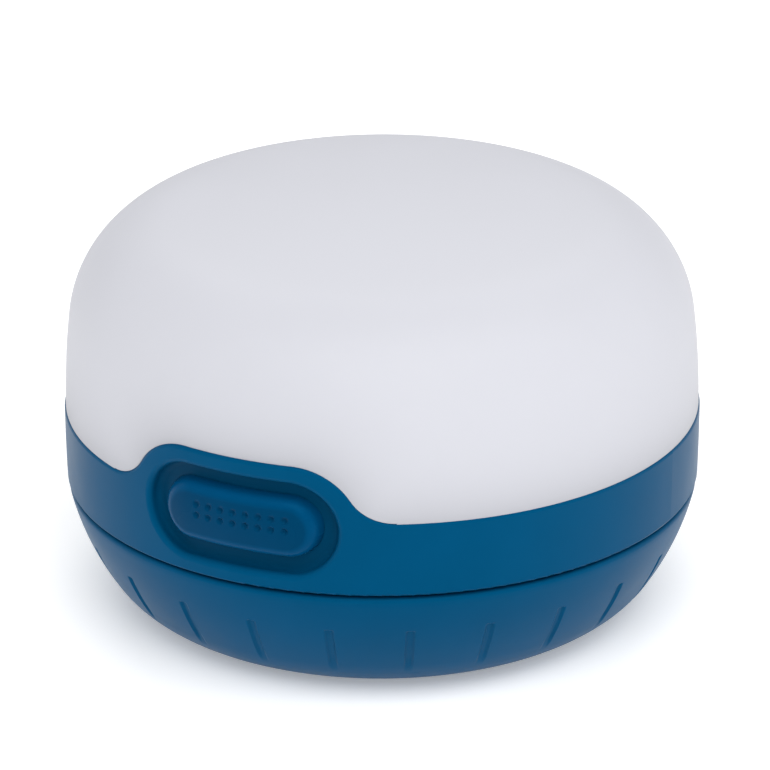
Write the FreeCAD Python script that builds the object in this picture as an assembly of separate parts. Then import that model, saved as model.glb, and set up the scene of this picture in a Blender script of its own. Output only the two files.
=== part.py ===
# Compact camping lantern: a frosted dome on a collar with a side push button, three AAA cells
# inside, and a twist-off base that carries two fold-out hanging hooks.
# Millimetres, +Z up. The origin is the centre of the resting face, and the button faces -Y.

import FreeCAD
import Part
import math
import os

from FreeCAD import Vector

# Cells, which set the size of everything around them
CELL_DIAMETER = 10.5
CELL_LENGTH = 44.5
CELL_NUB_RADIUS = 1.9
CELL_NUB_HEIGHT = 0.8
CELL_EDGE_ROUND = 0.4
CELL_SPACING = 0.7

# Spring contacts of bent strip
CONTACT_STRIP = 0.4
CONTACT_WIDTH = 6.0
CONTACT_BOW = 1.85
CONTACT_HEIGHT = 8.0
LEAD_WIDTH = 3.0
CONTACT_GAP = 0.05

# Battery tray
TRAY_PLATE = 1.3
TRAY_EDGE = 0.64
TRAY_END_WALL = 1.5
TRAY_RIB = 1.6
TRAY_RIB_SPREAD = 24.0
CELL_CLEARANCE = 0.1

# Hanging hooks and the pocket that they fold into
HOOK_WIRE = 2.0
HOOK_LEG_OFFSET = 4.0
HOOK_BEND = 2.5
HOOK_LOOP_RADIUS = 9.5
HOOK_LOOP_SWEEP = 140.0
HOOK_LIFT = 0.9
HOOK_HEADROOM = 0.7
HOOK_END_HEAD = 0.8
HOOK_END_FLARE = 0.5
HOOK_FIT = 0.06
FINGER_GAP = 2.5
SADDLE_WALL = 0.84
SADDLE_SKIN = 0.44
SADDLE_END_GAP = 0.4
SADDLE_ROUND = 0.6
POCKET_ROUND = 0.5

# Base cover
COVER_FLOOR = 1.6
COVER_WALL = 1.8
BOWL_RADIUS = 28.5
BOWL_CENTRE_RISE = 6.1
FOOT_RADIUS = 10.0
RIM_WALL = 2.87
RIM_ROUND = 0.3
PAD_THICKNESS = 0.7
PAD_MARGIN = 5.0
PAD_GAP = 0.1
GROOVE_COUNT = 24
GROOVE_START_DEG = 1.5
GROOVE_WIDTH = 1.0
GROOVE_DEPTH = 0.3
GROOVE_TOP_DROP = 4.4
GROOVE_RUN = 7.7

# Bayonet and seal between the base and the collar
SPIGOT_WALL = 1.2
TRAY_FIT = 0.2
LUG_COUNT = 3
LUG_DEPTH = 1.5
LUG_GAP = 0.3
HOUSING_LUG_HEIGHT = 1.6
HOUSING_LUG_DEG = 40.0
COVER_LUG_HEIGHT = 1.35
COVER_LUG_DEG = 34.0
LUG_STOP_DEG = 2.0
LUG_STOP_GAP_DEG = 0.6
LUG_AXIAL_GAP = 0.25
SEAL_ZONE = 1.8
SEAL_FIT = 0.1
PARTING_GAP = 0.32

# Collar, or upper housing
COLLAR_TAPER = 0.15
COLLAR_WALL = 1.8
COLLAR_FLOOR = 1.6
COLLAR_EDGE_ROUND = 0.45
COLLAR_LAND = 1.25
DECK_PLATE = 1.4
REFLECTOR_TO_COLLAR = 0.3

# Button, its recess and the raised tab around it
BUTTON_RUN = 5.75
BUTTON_RADIUS = 3.35
BUTTON_PROUD = 0.1
BUTTON_ROUND = 1.2
BUTTON_CLEARANCE = 0.15
BUTTON_TRAVEL = 0.6
RECESS_RADIUS = 5.35
RECESS_DEPTH = 1.6
RECESS_ROUND = 0.6
RECESS_BED_ROUND = 0.7
RECESS_FLOOR = 1.2
RECESS_BACK_MARGIN = 1.2
TAB_RUN = 6.3
TAB_RADIUS = 7.3
TAB_BLEND = 5.2
FLANGE_MARGIN = 0.6
FLANGE_THICKNESS = 0.8
FLANGE_GAP = 0.1
BUTTON_SEAL = 0.35
STEM_RADIUS = 1.75
STEM_LENGTH = 2.85
DIMPLE_COLUMNS = 8
DIMPLE_ROWS = 2
DIMPLE_PITCH = 1.487
DIMPLE_ROW_PITCH = 1.22
DIMPLE_LIFT = 0.3
DIMPLE_RADIUS = 0.38
DIMPLE_DEPTH = 0.3

# Dome
SEAM = 0.06
DOME_STEP = 0.15
DOME_RISE = 23.5
DOME_SIDE_RADIUS = 90.0
DOME_SHOULDER_RADIUS = 13.0
DOME_CROWN_RADIUS = 165.0
DOME_WALL = 1.6
SKIRT_FIT = 0.1

# Boards, light and switch
BOARD_STANDOFF = 1.0
BOARD_THICKNESS = 1.2
BOARD_EDGE_GAP = 2.8
EAR_MARGIN = 1.5
BOARD_SCREW_INSET = 3.5
BOARD_SCREW_COUNT = 3
LED_COUNT = 6
LED_CIRCLE_RADIUS = 11.0
LED_SIZE = 3.0
LED_HEIGHT = 0.8
LED_WINDOW = 2.3
REFLECTOR_GAP = 0.2
REFLECTOR_PLATE = 1.0
REFLECTOR_FIT = 0.4
HOOD_WALL = 1.0
HOOD_REACH = 2.9
HOOD_GAP = 0.65
SWITCH_CASE = 4.5
SWITCH_DEPTH = 3.0
SWITCH_LIFT = 0.15
PLUNGER_RADIUS = 1.2
PLUNGER_PROUD = 0.9
PLUNGER_LENGTH = 2.3
PLUNGER_FIT = 0.08
PLUNGER_GAP = 0.05
SWITCH_BOARD_WIDTH = 16.0
SWITCH_BOARD_HEIGHT = 6.2
POST_WIDTH = 2.2
POST_DEPTH = 3.4
POST_HEIGHT = 4.0
SLOT_FIT = 0.1
HEADER_PINS = 4
HEADER_PIN_SPACING = 2.0
HEADER_SIZE = 2.5
PIN_SIZE = 0.5
LED_LENS_RADIUS = 1.15
LED_LENS_HEIGHT = 0.3
LED_FLARE = 0.8
DRIVER_HEIGHT = 0.8
CHIP_SIZE = 4.0
COIL_RADIUS = 1.8
CAPACITOR_COUNT = 4
CAPACITOR_LENGTH = 1.6
CAPACITOR_WIDTH = 0.8
CAPACITOR_PITCH = 1.8

# Screws
SCREW_RADIUS = 1.0
SCREW_HEAD_RADIUS = 1.9
SCREW_HEAD_HEIGHT = 1.3
SCREW_FIT = 0.06
SCREW_HOLE_FIT = 0.25
BOSS_WALL = 1.35
TRAY_SCREW_INSET = 2.8
TRAY_SCREW_DEG = 55.0
SADDLE_SCREW_OFFSET = 3.6
SADDLE_SCREW_BITE = 1.2

# Heights, from the resting face upwards
HOOK_Z = HOOK_LIFT + HOOK_WIRE / 2
POCKET_TOP = HOOK_LIFT + HOOK_WIRE + HOOK_HEADROOM
COVER_FLOOR_TOP = POCKET_TOP + COVER_FLOOR
PAD_TOP = COVER_FLOOR_TOP + PAD_THICKNESS
CELL_Z = PAD_TOP + PAD_GAP + CELL_DIAMETER / 2
TRAY_BOTTOM = CELL_Z + CELL_DIAMETER / 2 + CELL_CLEARANCE
DECK_BOTTOM = TRAY_BOTTOM + TRAY_PLATE
DECK_TOP = DECK_BOTTOM + DECK_PLATE
BOARD_BOTTOM = DECK_TOP + BOARD_STANDOFF
BOARD_TOP = BOARD_BOTTOM + BOARD_THICKNESS
REFLECTOR_BOTTOM = BOARD_TOP + REFLECTOR_GAP
REFLECTOR_TOP = REFLECTOR_BOTTOM + REFLECTOR_PLATE
COLLAR_TOP = REFLECTOR_TOP + REFLECTOR_TO_COLLAR
BUTTON_Z = DECK_TOP + SWITCH_CASE / 2 + SWITCH_LIFT
COLLAR_BOTTOM = BUTTON_Z - RECESS_RADIUS - RECESS_ROUND - COLLAR_LAND
COLLAR_FLOOR_TOP = COLLAR_BOTTOM + COLLAR_FLOOR
PARTING_Z = COLLAR_BOTTOM - PARTING_GAP
COVER_LUG_TOP = PARTING_Z - SEAL_ZONE
COVER_LUG_BOTTOM = COVER_LUG_TOP - COVER_LUG_HEIGHT
HOUSING_LUG_TOP = COVER_LUG_BOTTOM - LUG_AXIAL_GAP
SPIGOT_BOTTOM = HOUSING_LUG_TOP - HOUSING_LUG_HEIGHT
BORE_BOTTOM = SPIGOT_BOTTOM - LUG_GAP
TOP_Z = COLLAR_TOP + DOME_RISE

# Radii and distances from the axis, from the cells outwards
CELL_PITCH = CELL_DIAMETER + CELL_SPACING
CONTACT_BACK = CELL_LENGTH / 2 + CONTACT_GAP + CONTACT_BOW + CONTACT_STRIP
TRAY_RADIUS = math.hypot(CONTACT_BACK, CELL_PITCH + CONTACT_WIDTH / 2) + TRAY_EDGE
SPIGOT_INNER = TRAY_RADIUS + TRAY_FIT
SPIGOT_RADIUS = SPIGOT_INNER + SPIGOT_WALL
BORE_RADIUS = SPIGOT_RADIUS + LUG_DEPTH + LUG_GAP
RIM_RADIUS = BORE_RADIUS + RIM_WALL
BODY_RADIUS = RIM_RADIUS + COLLAR_TAPER
COLLAR_INNER = BODY_RADIUS - COLLAR_WALL
POCKET_RADIUS = HOOK_LEG_OFFSET + HOOK_BEND + HOOK_LOOP_RADIUS + HOOK_WIRE / 2 + FINGER_GAP
SKIRT_RADIUS = COLLAR_INNER - SKIRT_FIT
SKIRT_INNER = SKIRT_RADIUS - DOME_WALL
REFLECTOR_RADIUS = SKIRT_INNER - REFLECTOR_FIT
BOSS_RADIUS = SCREW_RADIUS + BOSS_WALL
TRAY_SCREW_CIRCLE = TRAY_RADIUS - TRAY_SCREW_INSET
BOARD_RADIUS = TRAY_SCREW_CIRCLE - BOSS_RADIUS - BOARD_EDGE_GAP
BOARD_SCREW_CIRCLE = BOARD_RADIUS - BOARD_SCREW_INSET
EAR_REACH = CONTACT_BACK + EAR_MARGIN

# The button's stack, from the collar's surface inwards
PAD_FACE = BODY_RADIUS + BUTTON_PROUD
RECESS_BED = BODY_RADIUS - RECESS_DEPTH
RECESS_BACK = RECESS_BED - RECESS_FLOOR
SEAL_BACK = RECESS_BACK - BUTTON_SEAL
FLANGE_FRONT = SEAL_BACK - FLANGE_GAP
FLANGE_BACK = FLANGE_FRONT - FLANGE_THICKNESS
PAD_BACK = SPIGOT_RADIUS + BUTTON_TRAVEL + LUG_GAP
HOLE_RADIUS = BUTTON_RADIUS + BUTTON_CLEARANCE
FLANGE_RADIUS = HOLE_RADIUS + FLANGE_MARGIN
STEM_END = FLANGE_BACK - STEM_LENGTH
PLUNGER_TIP = STEM_END - PLUNGER_GAP
SWITCH_FRONT = PLUNGER_TIP - PLUNGER_PROUD
SWITCH_BOARD_FRONT = SWITCH_FRONT - SWITCH_DEPTH
SWITCH_BOARD_BACK = SWITCH_BOARD_FRONT - BOARD_THICKNESS
TONGUE_END = SWITCH_BOARD_BACK - SLOT_FIT
HEADER_BACK = TONGUE_END - HEADER_SIZE
FRONT_DEG = -90.0
REAR_DEG = 90.0
TOLERANCE = 1e-4


# Small shape helpers

def cylinder(radius, z0, z1, x=0.0, y=0.0):
    return Part.makeCylinder(radius, z1 - z0, Vector(x, y, z0))


def cylinder_x(radius, x0, x1, y, z):
    return Part.makeCylinder(radius, x1 - x0, Vector(x0, y, z), Vector(1, 0, 0))


def cylinder_y(radius, y0, y1, x, z):
    return Part.makeCylinder(radius, y1 - y0, Vector(x, y0, z), Vector(0, 1, 0))


def ring(inner, outer, z0, z1):
    return cylinder(outer, z0, z1).cut(cylinder(inner, z0, z1))


def block(x0, x1, y0, y1, z0, z1):
    return Part.makeBox(x1 - x0, y1 - y0, z1 - z0, Vector(x0, y0, z0))


def turned(shape, degrees):
    copy = shape.copy()
    copy.rotate(Vector(0, 0, 0), Vector(0, 0, 1), degrees)
    return copy


def ring_sector(inner, outer, z0, z1, middle_deg, span_deg):
    up = Vector(0, 0, 1)
    pie = Part.makeCylinder(outer, z1 - z0, Vector(0, 0, z0), up, span_deg)
    return turned(pie.cut(cylinder(inner, z0, z1)), middle_deg - span_deg / 2)


def polar(radius, degrees):
    angle = math.radians(degrees)
    return radius * math.cos(angle), radius * math.sin(angle)


def line(a, b):
    return Part.LineSegment(a, b).toShape()


def arc_xz(centre, radius, start, end):
    """An arc in the XZ plane; centre is (x, z) and the angles are in radians from +X towards +Z."""
    def at(angle):
        return Vector(centre[0] + radius * math.cos(angle), 0, centre[1] + radius * math.sin(angle))
    return Part.Arc(at(start), at((start + end) / 2), at(end)).toShape()


def revolved(edges):
    """A closed XZ profile turned about the axis."""
    face = Part.Face(Part.Wire(Part.__sortEdges__(edges)))
    return face.revolve(Vector(0, 0, 0), Vector(0, 0, 1), 360)


def polygon_edges(points):
    corners = [Vector(x, 0, z) for x, z in points]
    return [line(a, b) for a, b in zip(corners, corners[1:])]


def front_prism(wire):
    """An XZ outline pushed through the front half of the body, towards -Y."""
    return Part.Face(wire).extrude(Vector(0, -2 * BODY_RADIUS, 0))


def racetrack(radius):
    """The button's oval, in the XZ plane, with ends of this radius."""
    right = (BUTTON_RUN, BUTTON_Z)
    left = (-BUTTON_RUN, BUTTON_Z)
    top = BUTTON_Z + radius
    bottom = BUTTON_Z - radius
    return Part.Wire([
        line(Vector(-BUTTON_RUN, 0, bottom), Vector(BUTTON_RUN, 0, bottom)),
        arc_xz(right, radius, -math.pi / 2, math.pi / 2),
        line(Vector(BUTTON_RUN, 0, top), Vector(-BUTTON_RUN, 0, top)),
        arc_xz(left, radius, math.pi / 2, 3 * math.pi / 2),
    ])


def tab_outline(offset, foot):
    """The raised tab's outline, grown by offset and closed along a line at the height foot."""
    radius = TAB_RADIUS + offset
    blend = TAB_BLEND - offset
    blend_z = COLLAR_TOP + TAB_BLEND
    rise = blend_z - BUTTON_Z
    blend_x = TAB_RUN + math.sqrt((TAB_RADIUS + TAB_BLEND) ** 2 - rise ** 2)
    lean = math.atan2(rise, blend_x - TAB_RUN)
    down = -math.pi / 2
    top = BUTTON_Z + radius
    shoulder = COLLAR_TOP + offset
    edges = [
        arc_xz((blend_x, blend_z), blend, down, lean - math.pi),
        arc_xz((TAB_RUN, BUTTON_Z), radius, lean, math.pi / 2),
        line(Vector(TAB_RUN, 0, top), Vector(-TAB_RUN, 0, top)),
        arc_xz((-TAB_RUN, BUTTON_Z), radius, math.pi / 2, math.pi - lean),
        arc_xz((-blend_x, blend_z), blend, -lean, down),
    ]
    corners = [(-blend_x, shoulder), (-blend_x, foot), (blend_x, foot), (blend_x, shoulder)]
    if foot == shoulder:
        corners = [(-blend_x, shoulder), (blend_x, shoulder)]
    return Part.Wire(edges + polygon_edges(corners))


def edges_where(shape, test):
    """The edges whose ends and middle all pass the test."""
    found = []
    for edge in shape.Edges:
        first, last = edge.ParameterRange
        points = [edge.valueAt(first + (last - first) * share) for share in (0.0, 0.5, 1.0)]
        if all(test(p) for p in points):
            found.append(edge)
    return found


def from_axis(point):
    return math.hypot(point.x, point.y)


def on_surface(point, radius):
    return abs(from_axis(point) - radius) < TOLERANCE


def on_racetrack(point, radius):
    beyond = max(abs(point.x) - BUTTON_RUN, 0.0)
    return point.y < 0 and abs(math.hypot(beyond, point.z - BUTTON_Z) - radius) < TOLERANCE


def screw_up(x, y, seat, length):
    """A pan-head screw driven upwards, with its head under the height seat."""
    head = cylinder(SCREW_HEAD_RADIUS, seat - SCREW_HEAD_HEIGHT, seat, x, y)
    return head.fuse(cylinder(SCREW_RADIUS, seat, seat + length, x, y)).removeSplitter()


def screw_down(x, y, seat, length):
    """A pan-head screw driven downwards, with its head on the height seat."""
    head = cylinder(SCREW_HEAD_RADIUS, seat, seat + SCREW_HEAD_HEIGHT, x, y)
    return head.fuse(cylinder(SCREW_RADIUS, seat - length, seat, x, y)).removeSplitter()


def tray_screw_points():
    angles = (TRAY_SCREW_DEG, 180 - TRAY_SCREW_DEG, 180 + TRAY_SCREW_DEG, -TRAY_SCREW_DEG)
    return [polar(TRAY_SCREW_CIRCLE, a) for a in angles]


def board_screw_points():
    return [polar(BOARD_SCREW_CIRCLE, REAR_DEG + 360 * i / BOARD_SCREW_COUNT)
            for i in range(BOARD_SCREW_COUNT)]


# Dome

def dome_arcs(inset, rise):
    """Side, shoulder and crown arcs of the dome, moved inwards by inset, from a rise above the collar."""
    wall = BODY_RADIUS - DOME_STEP
    side_centre = (wall - DOME_SIDE_RADIUS, COLLAR_TOP)
    crown_centre = (0.0, TOP_Z - DOME_CROWN_RADIUS)
    to_side = DOME_SIDE_RADIUS - DOME_SHOULDER_RADIUS
    to_crown = DOME_CROWN_RADIUS - DOME_SHOULDER_RADIUS
    dx = crown_centre[0] - side_centre[0]
    dz = crown_centre[1] - side_centre[1]
    span = math.hypot(dx, dz)
    along = (to_side ** 2 - to_crown ** 2 + span ** 2) / (2 * span)
    across = math.sqrt(to_side ** 2 - along ** 2)
    shoulder = (side_centre[0] + (along * dx - across * dz) / span,
                side_centre[1] + (along * dz + across * dx) / span)
    side_end = math.atan2(shoulder[1] - side_centre[1], shoulder[0] - side_centre[0])
    crown_start = math.atan2(shoulder[1] - crown_centre[1], shoulder[0] - crown_centre[0])
    side_start = math.asin(rise / (DOME_SIDE_RADIUS - inset))
    return [
        arc_xz(side_centre, DOME_SIDE_RADIUS - inset, side_start, side_end),
        arc_xz(shoulder, DOME_SHOULDER_RADIUS - inset, side_end, crown_start),
        arc_xz(crown_centre, DOME_CROWN_RADIUS - inset, crown_start, math.pi / 2),
    ]


def ends_of(edges):
    return edges[0].firstVertex(True).Point, edges[-1].lastVertex(True).Point


def diffuser_dome():
    outer = dome_arcs(0.0, SEAM)
    inner = dome_arcs(DOME_WALL, SEAM + DOME_WALL)
    outer_foot, outer_top = ends_of(outer)
    inner_foot, inner_top = ends_of(inner)
    skirt = [(outer_foot.x, outer_foot.z), (SKIRT_RADIUS, outer_foot.z), (SKIRT_RADIUS, COLLAR_FLOOR_TOP),
             (SKIRT_INNER, COLLAR_FLOOR_TOP), (SKIRT_INNER, inner_foot.z), (inner_foot.x, inner_foot.z)]
    shell = revolved(outer + [line(outer_top, inner_top)] + inner + polygon_edges(skirt))
    notch = front_prism(tab_outline(SEAM, COLLAR_BOTTOM))
    return shell.cut(notch)


# Collar

def collar_shell():
    """The turned body: a wall that is upright at its top edge, a floor ring, a spigot and a deck."""
    low = RIM_RADIUS
    rise = COLLAR_TOP - COLLAR_BOTTOM - RIM_ROUND
    sweep = rise ** 2 / (2 * COLLAR_TAPER) + COLLAR_TAPER / 2
    outer = arc_xz((BODY_RADIUS - sweep, COLLAR_TOP), sweep, -math.asin(rise / sweep), 0.0)
    lip = arc_xz((low - RIM_ROUND, COLLAR_BOTTOM + RIM_ROUND), RIM_ROUND, -math.pi / 2, 0.0)
    inside = [(BODY_RADIUS, COLLAR_TOP), (COLLAR_INNER, COLLAR_TOP), (COLLAR_INNER, COLLAR_FLOOR_TOP),
              (SPIGOT_RADIUS, COLLAR_FLOOR_TOP), (SPIGOT_RADIUS, DECK_TOP), (0, DECK_TOP),
              (0, DECK_BOTTOM), (SPIGOT_INNER, DECK_BOTTOM), (SPIGOT_INNER, SPIGOT_BOTTOM),
              (SPIGOT_RADIUS, SPIGOT_BOTTOM), (SPIGOT_RADIUS, COLLAR_BOTTOM),
              (low - RIM_ROUND, COLLAR_BOTTOM)]
    return revolved([lip, outer] + polygon_edges(inside))


def bayonet_lugs():
    root = SPIGOT_RADIUS - SPIGOT_WALL / 2
    tip = SPIGOT_RADIUS + LUG_DEPTH
    stop_deg = COVER_LUG_DEG / 2 + LUG_STOP_GAP_DEG + LUG_STOP_DEG / 2
    lugs = []
    for i in range(LUG_COUNT):
        middle = REAR_DEG + 360 * i / LUG_COUNT
        stop = middle + stop_deg
        lugs.append(ring_sector(root, tip, SPIGOT_BOTTOM, HOUSING_LUG_TOP, middle, HOUSING_LUG_DEG))
        lugs.append(ring_sector(root, tip, SPIGOT_BOTTOM, COVER_LUG_TOP, stop, LUG_STOP_DEG))
    return lugs


def switch_posts():
    slot_front = SWITCH_BOARD_FRONT + SLOT_FIT
    slot_back = SWITCH_BOARD_BACK - SLOT_FIT
    middle = (SWITCH_BOARD_FRONT + SWITCH_BOARD_BACK) / 2
    half = SWITCH_BOARD_WIDTH / 2
    posts = []
    for side in (-1, 1):
        near = side * (half - POST_WIDTH / 2)
        far = side * (half + POST_WIDTH / 2)
        post = block(min(near, far), max(near, far), -middle - POST_DEPTH / 2, -middle + POST_DEPTH / 2,
                     DECK_TOP - DECK_PLATE / 2, DECK_TOP + POST_HEIGHT)
        slot_end = side * (half + SLOT_FIT)
        slot = block(min(near, slot_end), max(near, slot_end), -slot_front, -slot_back,
                     DECK_TOP, DECK_TOP + POST_HEIGHT)
        posts.append(post.cut(slot))
    return posts


def lead_slots(z0, z1):
    """Slots for the two lead tabs, as cutters between two heights."""
    depth = CONTACT_STRIP + 2 * SLOT_FIT
    middle = CONTACT_BACK - CONTACT_STRIP / 2
    half = LEAD_WIDTH / 2 + SLOT_FIT
    cutters = []
    for side in (-1, 1):
        x = side * middle
        y = -side * CELL_PITCH
        cutters.append(block(x - depth / 2, x + depth / 2, y - half, y + half, z0, z1))
    return cutters


def upper_housing():
    tab = ring(COLLAR_INNER, BODY_RADIUS, COLLAR_TOP, BUTTON_Z + TAB_RADIUS)
    tab = tab.common(front_prism(tab_outline(0.0, COLLAR_TOP)))
    shell = collar_shell().fuse(tab).removeSplitter()
    lip = edges_where(shell, lambda p: on_surface(p, BODY_RADIUS) and p.z > COLLAR_TOP - TOLERANCE)
    shell = shell.makeFillet(COLLAR_EDGE_ROUND, lip)

    backing = ring(RECESS_BACK, COLLAR_INNER + SKIRT_FIT, COLLAR_FLOOR_TOP, BUTTON_Z + TAB_RADIUS)
    backing = backing.common(front_prism(racetrack(RECESS_RADIUS + RECESS_BACK_MARGIN)))
    recess = front_prism(racetrack(RECESS_RADIUS)).cut(cylinder(RECESS_BED, 0, TOP_Z))
    shell = shell.fuse(backing).cut(recess)
    rim = edges_where(shell, lambda p: from_axis(p) > RIM_RADIUS and on_racetrack(p, RECESS_RADIUS))
    shell = shell.makeFillet(RECESS_ROUND, rim)
    bed = edges_where(shell, lambda p: on_surface(p, RECESS_BED) and on_racetrack(p, RECESS_RADIUS))
    shell = shell.makeFillet(RECESS_BED_ROUND, bed)
    shell = shell.cut(front_prism(racetrack(HOLE_RADIUS)))

    pillars = [cylinder(BOSS_RADIUS, DECK_TOP, BOARD_BOTTOM, x, y) for x, y in board_screw_points()]
    pillars += [cylinder(BOSS_RADIUS, DECK_TOP, REFLECTOR_BOTTOM, x, y) for x, y in tray_screw_points()]
    shell = shell.multiFuse(bayonet_lugs() + switch_posts() + pillars).removeSplitter()

    pilot = SCREW_RADIUS + SCREW_FIT
    low = DECK_BOTTOM + DECK_PLATE / 2
    high = REFLECTOR_BOTTOM - DECK_PLATE / 2
    holes = [cylinder(pilot, low, BOARD_BOTTOM, x, y) for x, y in board_screw_points()]
    holes += [cylinder(pilot, DECK_BOTTOM, high, x, y) for x, y in tray_screw_points()]
    return shell.cut(Part.makeCompound(holes + lead_slots(DECK_BOTTOM, DECK_TOP)))


# Button

def button_dimples():
    """Ball-shaped cutters for the two rows of grip dimples."""
    centre_radius = PAD_FACE + DIMPLE_RADIUS - DIMPLE_DEPTH
    cutters = []
    for row in range(DIMPLE_ROWS):
        for column in range(DIMPLE_COLUMNS):
            x = (column - (DIMPLE_COLUMNS - 1) / 2) * DIMPLE_PITCH
            z = BUTTON_Z + DIMPLE_LIFT + (row - (DIMPLE_ROWS - 1) / 2) * DIMPLE_ROW_PITCH
            y = -math.sqrt(centre_radius ** 2 - x ** 2)
            cutters.append(Part.makeSphere(DIMPLE_RADIUS, Vector(x, y, z)))
    return cutters


def power_button():
    pad = front_prism(racetrack(BUTTON_RADIUS)).common(ring(PAD_BACK, PAD_FACE, 0, TOP_Z))
    crown = edges_where(pad, lambda p: on_surface(p, PAD_FACE))
    pad = pad.makeFillet(BUTTON_ROUND, crown)
    flange = front_prism(racetrack(FLANGE_RADIUS)).common(ring(FLANGE_BACK, FLANGE_FRONT, 0, TOP_Z))
    flange = flange.cut(block(-BODY_RADIUS, BODY_RADIUS, -BODY_RADIUS, 0, 0, DECK_TOP + SWITCH_LIFT))
    stem = cylinder_y(STEM_RADIUS, -FLANGE_FRONT, -STEM_END, 0, BUTTON_Z)
    button = pad.multiFuse([flange, stem]).removeSplitter()
    return button.cut(Part.makeCompound(button_dimples()))


def button_seal():
    gasket = front_prism(racetrack(FLANGE_RADIUS)).cut(front_prism(racetrack(HOLE_RADIUS)))
    return gasket.common(ring(SEAL_BACK, RECESS_BACK, 0, TOP_Z))


# Switch

def switch_board():
    half = SWITCH_BOARD_WIDTH / 2
    board = block(-half, half, -SWITCH_BOARD_FRONT, -SWITCH_BOARD_BACK, DECK_TOP,
                  DECK_TOP + SWITCH_BOARD_HEIGHT)
    return board.cut(Part.makeCompound(header_pins(SLOT_FIT)))


def switch_case():
    half = SWITCH_CASE / 2
    case = block(-half, half, -SWITCH_FRONT, -SWITCH_BOARD_FRONT, BUTTON_Z - half, BUTTON_Z + half)
    depth = PLUNGER_LENGTH - PLUNGER_PROUD + BUTTON_TRAVEL + PLUNGER_FIT
    bore = cylinder_y(PLUNGER_RADIUS + PLUNGER_FIT, -SWITCH_FRONT, -SWITCH_FRONT + depth, 0, BUTTON_Z)
    return case.cut(bore)


def switch_plunger():
    return cylinder_y(PLUNGER_RADIUS, -PLUNGER_TIP, -PLUNGER_TIP + PLUNGER_LENGTH, 0, BUTTON_Z)


def header_pin_z():
    return BOARD_TOP + HEADER_SIZE / 2


def header_pin_y():
    return -(TONGUE_END + HEADER_BACK) / 2


def pin_bar(x, y0, y1, z0, z1, grow):
    """A square pin between two points, grown on its sides by a clearance."""
    half = PIN_SIZE / 2 + grow
    if z0 == z1:
        return block(x - half, x + half, y0, y1, z0 - half, z0 + half)
    return block(x - half, x + half, y0 - half, y0 + half, z0, z1)


def header_pins(grow):
    pins = []
    for i in range(HEADER_PINS):
        x = (i - (HEADER_PINS - 1) / 2) * HEADER_PIN_SPACING
        pins.append(pin_bar(x, -SWITCH_BOARD_FRONT, header_pin_y(), header_pin_z(), header_pin_z(), grow))
        pins.append(pin_bar(x, header_pin_y(), header_pin_y(), BOARD_BOTTOM, header_pin_z(), grow))
    return pins


def switch_header():
    """A right-angle pin header that joins the switch board to the light board."""
    half = HEADER_PINS * HEADER_PIN_SPACING / 2
    body = block(-half, half, -TONGUE_END, -HEADER_BACK, BOARD_TOP, BOARD_TOP + HEADER_SIZE)
    return body.multiFuse(header_pins(0.0)).removeSplitter()


# Light board

def led_board():
    ear_half = LEAD_WIDTH / 2 + EAR_MARGIN
    tongue_half = HEADER_PINS * HEADER_PIN_SPACING / 2 + EAR_MARGIN
    pieces = [block(-tongue_half, tongue_half, -TONGUE_END, 0, BOARD_BOTTOM, BOARD_TOP)]
    ear = block(0, EAR_REACH, -CELL_PITCH - ear_half, -CELL_PITCH + ear_half, BOARD_BOTTOM, BOARD_TOP)
    pieces += [ear, turned(ear, 180)]
    board = cylinder(BOARD_RADIUS, BOARD_BOTTOM, BOARD_TOP).multiFuse(pieces).removeSplitter()
    hole = SCREW_RADIUS + SCREW_HOLE_FIT
    holes = [cylinder(hole, BOARD_BOTTOM, BOARD_TOP, x, y) for x, y in board_screw_points()]
    return board.cut(Part.makeCompound(holes + lead_slots(BOARD_BOTTOM, BOARD_TOP) + header_pins(SLOT_FIT)))


def led_emitters():
    half = LED_SIZE / 2
    lens_base = BOARD_TOP + LED_HEIGHT - LED_LENS_HEIGHT
    emitters = []
    for i in range(LED_COUNT):
        package = block(LED_CIRCLE_RADIUS - half, LED_CIRCLE_RADIUS + half, -half, half, BOARD_TOP, lens_base)
        lens = cylinder(LED_LENS_RADIUS, lens_base, BOARD_TOP + LED_HEIGHT, LED_CIRCLE_RADIUS, 0)
        emitters.append(turned(package.fuse(lens).removeSplitter(), 360 * i / LED_COUNT))
    return Part.makeCompound(emitters)


def driver_components():
    """Chip, coil and capacitors on the underside of the light board."""
    top = BOARD_BOTTOM
    low = top - DRIVER_HEIGHT
    chip = block(-CHIP_SIZE / 2, CHIP_SIZE / 2, -CHIP_SIZE / 2, CHIP_SIZE / 2, low, top)
    coil = cylinder(COIL_RADIUS, low, top, CHIP_SIZE + COIL_RADIUS, 0)
    parts = [chip, coil]
    for i in range(CAPACITOR_COUNT):
        y = (i - (CAPACITOR_COUNT - 1) / 2) * CAPACITOR_PITCH
        parts.append(block(-CHIP_SIZE - CAPACITOR_LENGTH, -CHIP_SIZE, y - CAPACITOR_WIDTH / 2,
                           y + CAPACITOR_WIDTH / 2, low, top))
    return Part.makeCompound(parts)


def board_screws():
    bite = BOARD_TOP - DECK_BOTTOM - DECK_PLATE
    return Part.makeCompound([screw_down(x, y, BOARD_TOP, bite) for x, y in board_screw_points()])


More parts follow.
